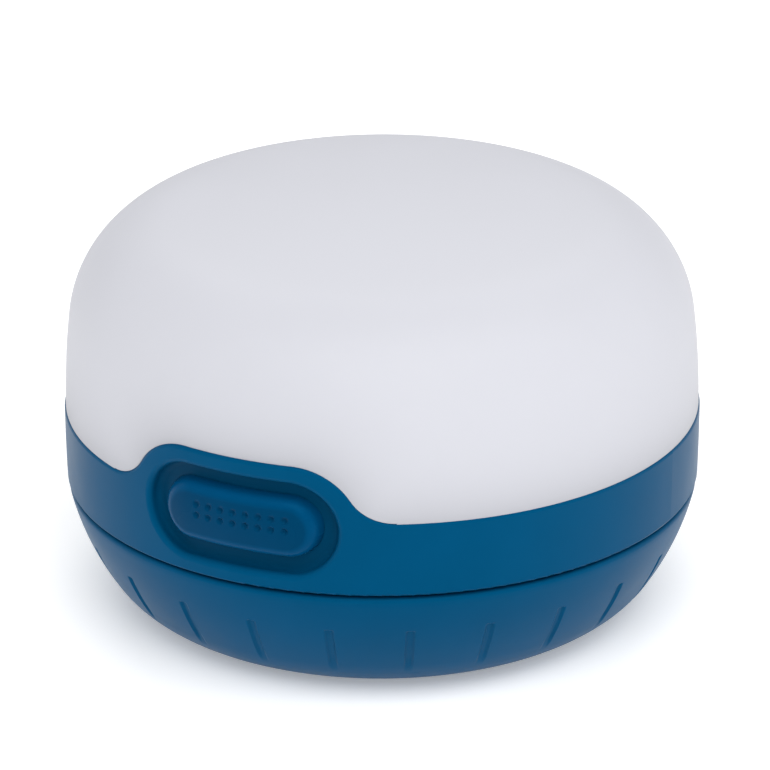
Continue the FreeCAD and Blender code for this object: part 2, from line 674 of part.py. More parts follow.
def reflector_deck():
    half = BUTTON_RUN + FLANGE_RADIUS + HOOD_GAP
    front = RECESS_BACK - HOOD_REACH
    back = HEADER_BACK - SLOT_FIT
    ceiling = BUTTON_Z + FLANGE_RADIUS + HOOD_GAP
    plate = cylinder(REFLECTOR_RADIUS, REFLECTOR_BOTTOM, REFLECTOR_TOP)
    hood = block(-half - HOOD_WALL, half + HOOD_WALL, -front, -back + HOOD_WALL,
                 REFLECTOR_BOTTOM, ceiling + HOOD_WALL)
    crown = edges_where(hood, lambda p: p.z > REFLECTOR_TOP and p.y > -front + HOOD_WALL / 2)
    crown += edges_where(hood, lambda p: p.z > REFLECTOR_TOP and abs(p.x) > half)
    hood = hood.makeFillet(HOOD_WALL, unique_edges(crown))
    room = block(-half, half, -REFLECTOR_RADIUS, -back, REFLECTOR_BOTTOM, ceiling)
    deck = plate.fuse(hood).cut(room).removeSplitter()
    deepest = LED_WINDOW + REFLECTOR_PLATE * LED_FLARE
    windows = []
    for i in range(LED_COUNT):
        x, y = polar(LED_CIRCLE_RADIUS, 360 * i / LED_COUNT)
        windows.append(Part.makeCone(LED_WINDOW, deepest, REFLECTOR_PLATE, Vector(x, y, REFLECTOR_BOTTOM)))
    head = SCREW_HEAD_RADIUS + SCREW_HOLE_FIT
    windows += [cylinder(head, REFLECTOR_BOTTOM, REFLECTOR_TOP, x, y) for x, y in board_screw_points()]
    return deck.cut(Part.makeCompound(windows))


def unique_edges(edges):
    kept = []
    for edge in edges:
        if not any(edge.isSame(other) for other in kept):
            kept.append(edge)
    return kept


# Battery tray, cells and contacts

def battery_tray():
    round_limit = cylinder(TRAY_RADIUS, 0, DECK_BOTTOM)
    reach = CELL_PITCH + CONTACT_WIDTH / 2
    wall = block(CONTACT_BACK, CONTACT_BACK + TRAY_END_WALL, -reach, reach,
                 CELL_Z - CONTACT_HEIGHT / 2, DECK_BOTTOM).common(round_limit)
    rib_reach = CELL_PITCH + CELL_DIAMETER / 2 + TRAY_RIB
    rib_x = TRAY_RIB_SPREAD / 2
    rib = block(rib_x - TRAY_RIB / 2, rib_x + TRAY_RIB / 2, -rib_reach, rib_reach, CELL_Z, DECK_BOTTOM)
    for y in (-CELL_PITCH, 0.0, CELL_PITCH):
        rib = rib.cut(cylinder_x(CELL_DIAMETER / 2 + CELL_CLEARANCE, 0, CELL_LENGTH, y, CELL_Z))
    plate = cylinder(TRAY_RADIUS, TRAY_BOTTOM, DECK_BOTTOM)
    tray = plate.multiFuse([wall, turned(wall, 180), rib, turned(rib, 180)]).removeSplitter()
    hole = SCREW_RADIUS + SCREW_HOLE_FIT
    holes = [cylinder(hole, TRAY_BOTTOM, DECK_BOTTOM, x, y) for x, y in tray_screw_points()]
    return tray.cut(Part.makeCompound(holes + lead_slots(TRAY_BOTTOM, DECK_BOTTOM)))


def tray_screws():
    length = REFLECTOR_BOTTOM - DECK_PLATE / 2 - SCREW_HOLE_FIT - TRAY_BOTTOM
    return Part.makeCompound([screw_up(x, y, TRAY_BOTTOM, length) for x, y in tray_screw_points()])


def cell(y):
    """One cell along X, with its positive end towards +X."""
    can_end = CELL_LENGTH / 2 - CELL_NUB_HEIGHT
    can = cylinder_x(CELL_DIAMETER / 2, -CELL_LENGTH / 2, can_end, y, CELL_Z)
    can = can.makeFillet(CELL_EDGE_ROUND, [e for e in can.Edges if e.Closed])
    nub = cylinder_x(CELL_NUB_RADIUS, can_end, CELL_LENGTH / 2, y, CELL_Z)
    return can.fuse(nub).removeSplitter()


def contact_leaf(y):
    """A bowed strip and its back plate against the tray's +X wall."""
    plate_face = CONTACT_BACK - CONTACT_STRIP
    seat = CONTACT_BACK - CONTACT_STRIP / 2
    tip = plate_face - CONTACT_BOW
    half = CONTACT_HEIGHT / 2
    outer = half - CONTACT_STRIP
    inner = outer - 2 * CONTACT_STRIP

    def bow(x, reach):
        low = Vector(seat, 0, CELL_Z - reach)
        return Part.Arc(low, Vector(x, 0, CELL_Z), Vector(seat, 0, CELL_Z + reach)).toShape()

    front = bow(tip, outer)
    rear = bow(tip + CONTACT_STRIP, inner)
    ends = [line(Vector(seat, 0, CELL_Z + s * outer), Vector(seat, 0, CELL_Z + s * inner)) for s in (-1, 1)]
    strip = Part.Face(Part.Wire([front, ends[1], rear, ends[0]])).extrude(Vector(0, CONTACT_WIDTH, 0))
    strip.translate(Vector(0, y - CONTACT_WIDTH / 2, 0))
    plate = block(plate_face, CONTACT_BACK, y - CONTACT_WIDTH / 2, y + CONTACT_WIDTH / 2,
                  CELL_Z - half, CELL_Z + half)
    return plate.fuse(strip)


def contact_link():
    """The two leaves and the strip that join the middle cell to the rear cell, at +X."""
    top = CELL_Z + CONTACT_HEIGHT / 2
    strap = block(CONTACT_BACK - CONTACT_STRIP, CONTACT_BACK, 0, CELL_PITCH, top - LEAD_WIDTH, top)
    return contact_leaf(0.0).multiFuse([contact_leaf(CELL_PITCH), strap]).removeSplitter()


def contact_lead():
    """The front cell's leaf, with a tab that goes up to the light board, at +X."""
    half = LEAD_WIDTH / 2
    tab = block(CONTACT_BACK - CONTACT_STRIP, CONTACT_BACK, -CELL_PITCH - half, -CELL_PITCH + half,
                CELL_Z, BOARD_TOP)
    return contact_leaf(-CELL_PITCH).fuse(tab).removeSplitter()


# Base cover

def bowl_profile(inset):
    """Centres and radii of the bowl and foot arcs, moved inwards by inset."""
    bowl_z = PARTING_Z + BOWL_CENTRE_RISE
    bowl_x = RIM_RADIUS - math.sqrt(BOWL_RADIUS ** 2 - BOWL_CENTRE_RISE ** 2)
    apart = BOWL_RADIUS - FOOT_RADIUS
    foot_x = bowl_x + math.sqrt(apart ** 2 - (bowl_z - FOOT_RADIUS) ** 2)
    joint = math.atan2(FOOT_RADIUS - bowl_z, foot_x - bowl_x)
    return (bowl_x, bowl_z), BOWL_RADIUS - inset, (foot_x, FOOT_RADIUS), FOOT_RADIUS - inset, joint


def cover_shell():
    down = -math.pi / 2
    bowl, bowl_r, foot, foot_r, joint = bowl_profile(0.0)
    rim_z = PARTING_Z - RIM_ROUND
    rim_x = bowl[0] + math.sqrt((bowl_r - RIM_ROUND) ** 2 - (bowl[1] - rim_z) ** 2)
    rim_angle = math.atan2(rim_z - bowl[1], rim_x - bowl[0])
    outer = [arc_xz(foot, foot_r, down, joint), arc_xz(bowl, bowl_r, joint, rim_angle),
             arc_xz((rim_x, rim_z), RIM_ROUND, rim_angle, math.pi / 2)]

    bowl, bowl_r, foot, foot_r, joint = bowl_profile(COVER_WALL)
    step = math.asin((BORE_BOTTOM - bowl[1]) / bowl_r)
    step_x = bowl[0] + bowl_r * math.cos(step)
    mouth = polygon_edges([(rim_x, PARTING_Z), (BORE_RADIUS, PARTING_Z), (BORE_RADIUS, BORE_BOTTOM),
                           (step_x, BORE_BOTTOM)])
    inner = [arc_xz(bowl, bowl_r, step, joint), arc_xz(foot, foot_r, joint, down)]
    hub = POCKET_RADIUS + COVER_FLOOR
    floor = polygon_edges([(foot[0], COVER_WALL), (hub, COVER_WALL), (hub, COVER_FLOOR_TOP),
                           (0, COVER_FLOOR_TOP), (0, POCKET_TOP), (POCKET_RADIUS, POCKET_TOP),
                           (POCKET_RADIUS, POCKET_ROUND)])
    edge = (POCKET_RADIUS + POCKET_ROUND, POCKET_ROUND)
    floor.append(arc_xz(edge, POCKET_ROUND, math.pi, 3 * math.pi / 2))
    floor += polygon_edges([(edge[0], 0), (foot[0], 0)])
    return revolved(outer + mouth + inner + floor)


def grip_groove():
    """One shallow, round-ended groove down the bowl, in the XZ plane, as a cutter."""
    bowl, bowl_r = bowl_profile(0.0)[:2]
    top = math.asin((PARTING_Z - GROOVE_TOP_DROP - bowl[1]) / bowl_r)
    middle = top - GROOVE_RUN / bowl_r / 2
    half_run = GROOVE_RUN / 2 - GROOVE_WIDTH / 2
    half_width = GROOVE_WIDTH / 2
    slot = Part.Wire([
        line(Vector(-half_run, half_width, 0), Vector(half_run, half_width, 0)),
        Part.Arc(Vector(half_run, half_width, 0), Vector(half_run + half_width, 0, 0),
                 Vector(half_run, -half_width, 0)).toShape(),
        line(Vector(half_run, -half_width, 0), Vector(-half_run, -half_width, 0)),
        Part.Arc(Vector(-half_run, -half_width, 0), Vector(-half_run - half_width, 0, 0),
                 Vector(-half_run, half_width, 0)).toShape(),
    ])
    cutter = Part.Face(slot).extrude(Vector(0, 0, 2 * COVER_WALL))
    cutter.rotate(Vector(0, 0, 0), Vector(0, 1, 0), 90 - math.degrees(middle))
    start = bowl_r - COVER_WALL
    cutter.translate(Vector(bowl[0] + start * math.cos(middle), 0, bowl[1] + start * math.sin(middle)))
    bed = Part.makeTorus(bowl[0], bowl_r - GROOVE_DEPTH, Vector(0, 0, bowl[1]))
    return cutter.cut(turned(bed, 180))


def grip_grooves():
    pitch = 360 / GROOVE_COUNT
    groove = grip_groove()
    return [turned(groove, FRONT_DEG + GROOVE_START_DEG + pitch * i) for i in range(GROOVE_COUNT)]


def base_cover():
    lugs = []
    for i in range(LUG_COUNT):
        lugs.append(ring_sector(BORE_RADIUS - LUG_DEPTH, BORE_RADIUS + LUG_GAP, COVER_LUG_BOTTOM,
                                COVER_LUG_TOP, REAR_DEG + 360 * i / LUG_COUNT, COVER_LUG_DEG))
    cover = cover_shell().multiFuse(lugs).removeSplitter()
    pilot_top = POCKET_TOP + SADDLE_SCREW_BITE
    pilots = [cylinder(SCREW_RADIUS + SCREW_FIT, POCKET_TOP, pilot_top, x, 0) for x in saddle_screw_xs()]
    return cover.cut(Part.makeCompound(grip_grooves() + pilots))


def cell_pad():
    return cylinder(POCKET_RADIUS + COVER_FLOOR - PAD_MARGIN, COVER_FLOOR_TOP, PAD_TOP)


def base_seal():
    section = (BORE_RADIUS - SPIGOT_RADIUS) / 2 - SEAL_FIT
    middle = (COVER_LUG_TOP + COLLAR_BOTTOM) / 2
    return Part.makeTorus((BORE_RADIUS + SPIGOT_RADIUS) / 2, section, Vector(0, 0, middle))


# Hanging hooks

def saddle_screw_xs():
    return (-SADDLE_SCREW_OFFSET, SADDLE_SCREW_OFFSET)


def saddle_half_length():
    return HOOK_LOOP_RADIUS - HOOK_BEND - SADDLE_END_GAP


def saddle_bottom():
    return HOOK_Z - HOOK_WIRE / 2 - HOOK_FIT - SADDLE_SKIN


def saddle_seat():
    return saddle_bottom() + SCREW_HEAD_HEIGHT + SCREW_FIT


def hook_saddle():
    half_x = saddle_half_length()
    half_y = HOOK_LEG_OFFSET + HOOK_WIRE / 2 + HOOK_FIT + SADDLE_WALL
    bar = block(-half_x, half_x, -half_y, half_y, saddle_bottom(), POCKET_TOP)
    corners = edges_where(bar, lambda p: abs(p.x) > half_x - TOLERANCE and abs(p.y) > half_y - TOLERANCE)
    bar = bar.makeFillet(SADDLE_ROUND, corners)
    bore = HOOK_WIRE / 2 + HOOK_FIT
    cuts = [cylinder_x(bore, -half_x, half_x, side * HOOK_LEG_OFFSET, HOOK_Z) for side in (-1, 1)]
    for x in saddle_screw_xs():
        cuts.append(cylinder(SCREW_HEAD_RADIUS + SCREW_HOLE_FIT, saddle_bottom(), saddle_seat(), x, 0))
        cuts.append(cylinder(SCREW_RADIUS + SCREW_HOLE_FIT, saddle_bottom(), POCKET_TOP, x, 0))
    return bar.cut(Part.makeCompound(cuts))


def saddle_screws():
    length = POCKET_TOP + SADDLE_SCREW_BITE - SCREW_FIT - saddle_seat()
    return Part.makeCompound([screw_up(x, 0, saddle_seat(), length) for x in saddle_screw_xs()])


def wire_arc(centre, start, degrees):
    """Round wire swept about a vertical axis through centre, from the point start."""
    out = start - centre
    along = Vector(0, 0, 1).cross(out)
    section = Part.Face(Part.Wire(Part.makeCircle(HOOK_WIRE / 2, start, along)))
    return section.revolve(centre, Vector(0, 0, 1), degrees)


def hang_hook():
    """The rear hook, folded flat: a leg along X, a tight bend, and an open loop towards +Y."""
    leg_end = saddle_half_length() + SADDLE_END_GAP
    bend_x = HOOK_LOOP_RADIUS - HOOK_BEND
    loop_y = HOOK_LEG_OFFSET + HOOK_BEND
    leg = cylinder_x(HOOK_WIRE / 2, -leg_end, bend_x, HOOK_LEG_OFFSET, HOOK_Z)
    head = cylinder_x(HOOK_WIRE / 2 + HOOK_END_FLARE, -leg_end - HOOK_END_HEAD, -leg_end,
                      HOOK_LEG_OFFSET, HOOK_Z)
    bend = wire_arc(Vector(bend_x, loop_y, HOOK_Z), Vector(bend_x, HOOK_LEG_OFFSET, HOOK_Z), 90)
    loop = wire_arc(Vector(0, loop_y, HOOK_Z), Vector(HOOK_LOOP_RADIUS, loop_y, HOOK_Z), HOOK_LOOP_SWEEP)
    tip_x, tip_y = polar(HOOK_LOOP_RADIUS, HOOK_LOOP_SWEEP)
    tip = Part.makeSphere(HOOK_WIRE / 2, Vector(tip_x, loop_y + tip_y, HOOK_Z))
    return leg.multiFuse([head, bend, loop, tip]).removeSplitter()


NODES = {
    "diffuser_dome": diffuser_dome(),
    "upper_housing": upper_housing(),
    "power_button": power_button(),
    "button_seal": button_seal(),
    "switch_plunger": switch_plunger(),
    "switch_case": switch_case(),
    "switch_board": switch_board(),
    "switch_header": switch_header(),
    "led_board": led_board(),
    "led_emitters": led_emitters(),
    "driver_components": driver_components(),
    "board_screws": board_screws(),
    "reflector_deck": reflector_deck(),
    "battery_tray": battery_tray(),
    "tray_screws": tray_screws(),
    "cell_front": cell(-CELL_PITCH),
    "cell_middle": turned(cell(0.0), 180),
    "cell_rear": cell(CELL_PITCH),
    "contact_positive": contact_lead(),
    "contact_negative": turned(contact_lead(), 180),
    "contact_link_right": contact_link(),
    "contact_link_left": turned(contact_link(), 180),
    "base_seal": base_seal(),
    "base_cover": base_cover(),
    "cell_pad": cell_pad(),
    "hook_saddle": hook_saddle(),
    "saddle_screws": saddle_screws(),
    "hang_hook_rear": hang_hook(),
    "hang_hook_front": turned(hang_hook(), 180),
}

os.makedirs("parts", exist_ok=True)
for name, shape in NODES.items():
    shape.exportStep(os.path.join("parts", name + ".step"))
    print(name, "solids", len(shape.Solids), "valid", shape.isValid(), "volume", round(shape.Volume, 2))
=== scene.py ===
# %% [markdown]
# # A compact camping lantern
# A frosted dome sits in a blue collar. A push button sits in the collar's raised tab, and a grooved
# base twists on from below, with two wire hooks folded into its underside. The solids of the packed
# model are loaded first and stay where they are. Pieces whose looks need softer edges than a solid has
# are then modelled around them.

# %% Load the frame
import math
from collections import namedtuple

import bmesh
import bpy
from mathutils import Matrix, Vector


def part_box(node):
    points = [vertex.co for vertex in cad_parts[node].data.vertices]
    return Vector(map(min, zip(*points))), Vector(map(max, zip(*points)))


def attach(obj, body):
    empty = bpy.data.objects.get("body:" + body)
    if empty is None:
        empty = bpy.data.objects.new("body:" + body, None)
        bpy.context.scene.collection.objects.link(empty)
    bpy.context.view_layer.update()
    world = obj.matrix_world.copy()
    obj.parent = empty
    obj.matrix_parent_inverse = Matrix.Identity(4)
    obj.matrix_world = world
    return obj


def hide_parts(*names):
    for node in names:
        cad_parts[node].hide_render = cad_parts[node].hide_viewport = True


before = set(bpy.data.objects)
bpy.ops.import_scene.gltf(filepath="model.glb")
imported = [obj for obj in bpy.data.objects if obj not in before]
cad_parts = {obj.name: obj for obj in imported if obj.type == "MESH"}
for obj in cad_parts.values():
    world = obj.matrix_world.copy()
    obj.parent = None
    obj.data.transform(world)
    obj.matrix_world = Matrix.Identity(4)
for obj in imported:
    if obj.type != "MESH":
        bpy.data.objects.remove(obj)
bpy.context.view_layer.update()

# %% [markdown]
# ## Sizes
# A modelled piece has to fit the solids around it. The sizes could all be typed in again, but then they
# would drift apart from the frame. So what the frame's boxes can tell is read from them, in
# millimetres, and only the curves that a box can't show are named here.

# %% Read the sizes
MM = 0.001


def box_mm(node):
    low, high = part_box(node)
    return low / MM, high / MM


_, collar_high = box_mm("upper_housing")
dome_low, dome_high = box_mm("diffuser_dome")
_, base_high = box_mm("base_cover")
plunger_low, plunger_high = box_mm("switch_plunger")

BODY_RADIUS = collar_high.x
BUTTON_Z = (plunger_low.z + plunger_high.z) / 2
TAB_RADIUS = collar_high.z - BUTTON_Z
COLLAR_FLOOR_TOP = dome_low.z
TOP_Z = dome_high.z
RIM_RADIUS = base_high.x
PARTING_Z = base_high.z
print("radius", round(BODY_RADIUS, 2), "height", round(TOP_Z, 2), "button at", round(BUTTON_Z, 2))

# %% [markdown]
# ## Working as by hand
# These helpers do what a hand does before it shapes anything: put the other pieces aside, open one in
# edit mode and pick points by their place. Points could be picked by their number too, but numbers
# change with every cut, and places don't.

# %% Helpers for selecting
def deselect_all():
    if bpy.context.mode != "OBJECT":
        bpy.ops.object.mode_set(mode="OBJECT")
    bpy.ops.object.select_all(action="DESELECT")


def make_active(piece):
    deselect_all()
    piece.select_set(True)
    bpy.context.view_layer.objects.active = piece


def edit(piece):
    make_active(piece)
    bpy.ops.object.mode_set(mode="EDIT")
    bpy.ops.mesh.select_mode(type="VERT")


def select_points(piece, test):
    """In edit mode, select the points whose place, in millimetres, passes the test."""
    bpy.ops.mesh.select_all(action="DESELECT")
    mesh = bmesh.from_edit_mesh(piece.data)
    for point in mesh.verts:
        point.select_set(test(point.co / MM))
    mesh.select_flush(True)
    bmesh.update_edit_mesh(piece.data)


def selected_point(piece):
    mesh = bmesh.from_edit_mesh(piece.data)
    return next(point.co / MM for point in mesh.verts if point.select)


def count_points(piece):
    return len(bmesh.from_edit_mesh(piece.data).verts)


print("selecting helpers ready")

# %% [markdown]
# A turned or an extruded piece starts as a profile. It could be typed as a list of points, but one point
# that is extruded along straight runs and spun along round ones keeps true arcs. A whole loop is pushed
# on in the same way, with a rule for where each of its points goes.

# %% Helpers for drawing
def start_profile(name, x, z):
    """A new piece of one selected point in the XZ plane, open in edit mode."""
    deselect_all()
    bpy.ops.mesh.primitive_plane_add(size=MM)
    piece = bpy.context.object
    piece.name = name
    piece.data.name = name
    edit(piece)
    bpy.ops.mesh.select_all(action="SELECT")
    bpy.ops.mesh.merge(type="CENTER")
    bpy.ops.transform.translate(value=(x * MM, 0, z * MM))
    return piece


def run_to(piece, x, z, steps=1):
    """Extrude the selected point straight to a place in the XZ plane."""
    start = selected_point(piece)
    move = Vector((x - start.x, 0, z - start.z)) * (MM / steps)
    for _ in range(steps):
        bpy.ops.mesh.extrude_region_move(TRANSFORM_OT_translate={"value": move})


def swing(centre, start, end, steps):
    """Spin the selected point about a centre in the XZ plane, between two angles in radians."""
    middle = (centre[0] * MM, 0, centre[1] * MM)
    bpy.ops.mesh.spin(steps=steps, angle=end - start, center=middle, axis=(0, 1, 0))


def next_loop(piece, place):
    """Extrude the selected loop, and put each new point where place says, in millimetres."""
    bpy.ops.mesh.extrude_region_move()
    mesh = bmesh.from_edit_mesh(piece.data)
    for point in mesh.verts:
        if point.select:
            point.co = place(point.co / MM) * MM
    bmesh.update_edit_mesh(piece.data)


print("drawing helpers ready")

# %% [markdown]
# Spinning leaves doubled points at the seam and on the axis, so every drawn mesh is welded and its faces
# are turned outwards. Edges are shaded smooth up to an angle, so that a real corner stays a corner.

# %% Helpers for finishing a mesh
MERGE = 0.002 * MM
FULL_TURN = 2 * math.pi
SMOOTH_ANGLE = 35


def clean_up(piece):
    """Weld what meets, drop what has no area, and point every face outwards."""
    bpy.ops.mesh.select_all(action="SELECT")
    bpy.ops.mesh.remove_doubles(threshold=MERGE)
    bpy.ops.mesh.dissolve_degenerate(threshold=MERGE)
    bpy.ops.mesh.normals_make_consistent(inside=False)
    bpy.ops.object.mode_set(mode="OBJECT")
    return piece


def turn_on_axis(piece, steps):
    """Spin the drawn profile once round the lantern's axis."""
    bpy.ops.mesh.select_all(action="SELECT")
    bpy.ops.mesh.spin(steps=steps, angle=FULL_TURN, center=(0, 0, 0), axis=(0, 0, 1))
    return clean_up(piece)


def smooth(piece, degrees=SMOOTH_ANGLE):
    make_active(piece)
    bpy.ops.object.shade_smooth_by_angle(angle=math.radians(degrees))


def cut_away(piece, cutter):
    """Take the cutter out of the piece, and throw the cutter away."""
    make_active(piece)
    cut = piece.modifiers.new("cut", "BOOLEAN")
    cut.operation = "DIFFERENCE"
    cut.solver = "EXACT"
    cut.object = cutter
    bpy.ops.object.modifier_apply(modifier=cut.name)
    bpy.data.objects.remove(cutter, do_unlink=True)


def report(piece):
    """Print how many triangles a piece has, and how many edges don't join two faces."""
    piece.data.calc_loop_triangles()
    shell = bmesh.new()
    shell.from_mesh(piece.data)
    loose = sum(1 for edge in shell.edges if not edge.is_manifold)
    shell.free()
    print(piece.name, "triangles", len(piece.data.loop_triangles), "open edges", loose)


print("mesh helpers ready")

# %% [markdown]
# ## The dome
# The dome is one injection moulding of frosted plastic: steep sides, a soft shoulder and a nearly flat
# crown, with a skirt that drops inside the collar. It could be sculpted from a sphere, but a turned part
# wants a turned mesh, so its section is drawn once, as three tangent arcs for each face of the wall, and
# spun round the axis. First the arcs: the shoulder's centre is where it touches both of the others.

# %% Work out the dome's arcs
Arc = namedtuple("Arc", "centre radius start end")
QUARTER = FULL_TURN / 4
COLLAR_TOP = 23.0
DOME_STEP = 0.15
DOME_SIDE_RADIUS = 90.0
DOME_SHOULDER_RADIUS = 13.0
DOME_CROWN_RADIUS = 165.0


def dome_arcs(inset, rise):
    """The side, shoulder and crown arcs, moved inwards by inset; the side starts rise above its centre."""
    side = Vector((BODY_RADIUS - DOME_STEP - DOME_SIDE_RADIUS, COLLAR_TOP))
    crown = Vector((0.0, TOP_Z - DOME_CROWN_RADIUS))
    to_side = DOME_SIDE_RADIUS - DOME_SHOULDER_RADIUS
    to_crown = DOME_CROWN_RADIUS - DOME_SHOULDER_RADIUS
    between = crown - side
    along = (to_side ** 2 - to_crown ** 2 + between.length_squared) / (2 * between.length)
    across = math.sqrt(to_side ** 2 - along ** 2)
    ahead = between.normalized()
    shoulder = side + ahead * along + Vector((-ahead.y, ahead.x)) * across
    side_end = math.atan2(shoulder.y - side.y, shoulder.x - side.x)
    crown_start = math.atan2(shoulder.y - crown.y, shoulder.x - crown.x)
    side_start = math.asin(rise / (DOME_SIDE_RADIUS - inset))
    return (Arc(side, DOME_SIDE_RADIUS - inset, side_start, side_end),
            Arc(shoulder, DOME_SHOULDER_RADIUS - inset, side_end, crown_start),
            Arc(crown, DOME_CROWN_RADIUS - inset, crown_start, QUARTER))


shoulder = dome_arcs(0.0, 0.0)[1]
print("the shoulder turns", round(math.degrees(shoulder.end - shoulder.start), 1), "degrees")

# %% [markdown]
# The section runs from the crown down the outside, in under the foot, down and up the skirt, and back
# along the inside. The foot dips over the collar's rounded edge, which leaves no dark gap between them.

# %% Draw the dome's section and turn it
SEAM = 0.06
DOME_WALL = 1.6
DOME_FOOT_DIP = 0.085
COLLAR_EDGE_ROUND = 0.45
COLLAR_WALL = 1.8
SKIRT_FIT = 0.1
DOME_OUTER_STEPS = (18, 26, 14)
DOME_INNER_STEPS = (6, 12, 4)
DOME_TURNS = 256


def draw_dome():
    outer = dome_arcs(0.0, -DOME_FOOT_DIP)
    inner = dome_arcs(DOME_WALL, SEAM + DOME_WALL)
    skirt = BODY_RADIUS - COLLAR_WALL - SKIRT_FIT
    dome = start_profile("dome", 0.0, TOP_Z)
    for arc, steps in zip(reversed(outer), DOME_OUTER_STEPS):
        swing(arc.centre, arc.end, arc.start, steps)
    run_to(dome, BODY_RADIUS - COLLAR_EDGE_ROUND, COLLAR_TOP + SEAM)
    run_to(dome, skirt, COLLAR_TOP + SEAM)
    run_to(dome, skirt, COLLAR_FLOOR_TOP)
    run_to(dome, skirt - DOME_WALL, COLLAR_FLOOR_TOP)
    side = inner[0]
    shelf_z = side.centre.y + side.radius * math.sin(side.start)
    run_to(dome, skirt - DOME_WALL, shelf_z)
    run_to(dome, side.centre.x + side.radius * math.cos(side.start), shelf_z)
    for arc, steps in zip(inner, DOME_INNER_STEPS):
        swing(arc.centre, arc.start, arc.end, steps)
    return turn_on_axis(dome, DOME_TURNS)


dome = draw_dome()
report(dome)

# %% [markdown]
# The collar's tab rises in front of the dome, so the dome has a notch of the tab's outline. The outline
# is drawn as arcs, filled, pushed through the front wall as a cutter and taken out of the dome.

# %% Notch the dome for the tab
TAB_RUN = 6.3
TAB_BLEND = 5.2
TAB_ARC_STEPS = 16
TAB_TOP_STEPS = 12
CUT_SPARE = 1.0


def tab_places():
    """Half width of the tab's foot, the height of its blend's centre, and the angle where the arcs meet."""
    blend_z = COLLAR_TOP + TAB_BLEND
    rise = blend_z - BUTTON_Z
    reach = math.sqrt((TAB_RADIUS + TAB_BLEND) ** 2 - rise ** 2)
    return TAB_RUN + reach, blend_z, math.atan2(rise, reach)


def tab_cutter():
    blend_x, blend_z, lean = tab_places()
    under = COLLAR_FLOOR_TOP - CUT_SPARE
    cutter = start_profile("tab_cutter", blend_x, under)
    run_to(cutter, blend_x, COLLAR_TOP)
    swing((blend_x, blend_z), -QUARTER, lean - math.pi, TAB_ARC_STEPS)
    swing((TAB_RUN, BUTTON_Z), lean, QUARTER, TAB_ARC_STEPS)
    run_to(cutter, -TAB_RUN, BUTTON_Z + TAB_RADIUS, TAB_TOP_STEPS)
    swing((-TAB_RUN, BUTTON_Z), QUARTER, math.pi - lean, TAB_ARC_STEPS)
    swing((-blend_x, blend_z), -lean, -QUARTER, TAB_ARC_STEPS)
    run_to(cutter, -blend_x, under)
    bpy.ops.mesh.select_all(action="SELECT")
    bpy.ops.mesh.edge_face_add()
    forwards = (0, -2 * BODY_RADIUS * MM, 0)
    bpy.ops.mesh.extrude_region_move(TRANSFORM_OT_translate={"value": forwards})
    return clean_up(cutter)


cut_away(dome, tab_cutter())
smooth(dome)
report(dome)

# %% [markdown]
# ## The base
# The base is a shallow bowl with 24 grip grooves, a flat foot ring and a pocket for the hooks. Cutting
# 24 grooves with booleans would leave hard, torn edges. Here one fifteen-degree slice of the bowl is
# spun, with fine steps where the groove lies, its points are pressed in by a soft-edged depth, and the
# slice is repeated round the axis. The outside is two tangent arcs, a small one at the foot and a large
# one up to the rim, and the section has more points where a groove will start and end.

# %% Work out the base's arcs
BOWL_RADIUS = 28.5
BOWL_CENTRE_RISE = 6.1
FOOT_RADIUS = 10.0
GROOVE_DROP = 4.4
GROOVE_RUN = 7.7


def bowl_arcs(inset):
    """The foot's and the bowl's arcs, moved inwards by inset."""
    bowl_z = PARTING_Z + BOWL_CENTRE_RISE
    bowl = Vector((RIM_RADIUS - math.sqrt(BOWL_RADIUS ** 2 - BOWL_CENTRE_RISE ** 2), bowl_z))
    reach = math.sqrt((BOWL_RADIUS - FOOT_RADIUS) ** 2 - (bowl_z - FOOT_RADIUS) ** 2)
    foot = Vector((bowl.x + reach, FOOT_RADIUS))
    joint = math.atan2(foot.y - bowl.y, foot.x - bowl.x)
    return Arc(foot, FOOT_RADIUS - inset, -QUARTER, joint), Arc(bowl, BOWL_RADIUS - inset, joint, 0.0)


def groove_angles():
    """Where a groove's lower and upper ends lie on the bowl's arc."""
    bowl = bowl_arcs(0.0)[1]
    top = math.asin((PARTING_Z - GROOVE_DROP - bowl.centre.y) / BOWL_RADIUS)
    return top - GROOVE_RUN / BOWL_RADIUS, top


print("groove from", [round(math.degrees(angle), 1) for angle in groove_angles()])

# %% Draw the pocket
HOOK_POCKET_RADIUS = 19.5
HOOK_POCKET_TOP = 3.6
POCKET_ROUND = 0.5
POCKET_TOP_STEPS = 3
CORNER_STEPS = 4
LIP_STEPS = 5


def draw_pocket(base):
    """From the axis along the pocket's top, down its side and round its lip."""
    corner_x = HOOK_POCKET_RADIUS - POCKET_ROUND
    run_to(base, corner_x, HOOK_POCKET_TOP, POCKET_TOP_STEPS)
    swing((corner_x, HOOK_POCKET_TOP - POCKET_ROUND), QUARTER, 0.0, CORNER_STEPS)
    run_to(base, HOOK_POCKET_RADIUS, POCKET_ROUND)
    swing((HOOK_POCKET_RADIUS + POCKET_ROUND, POCKET_ROUND), -math.pi, -QUARTER, LIP_STEPS)


base = start_profile("base", 0.0, HOOK_POCKET_TOP)
draw_pocket(base)
print("points up to the pocket's lip:", count_points(base))

# %% Draw the bowl's outside
RIM_ROUND = 0.5
GROOVE_END = 1.3
RING_STEPS = 2
FOOT_STEPS = 10
LAP_STEPS = 9
BOWL_STEPS = (9, 15, 6)


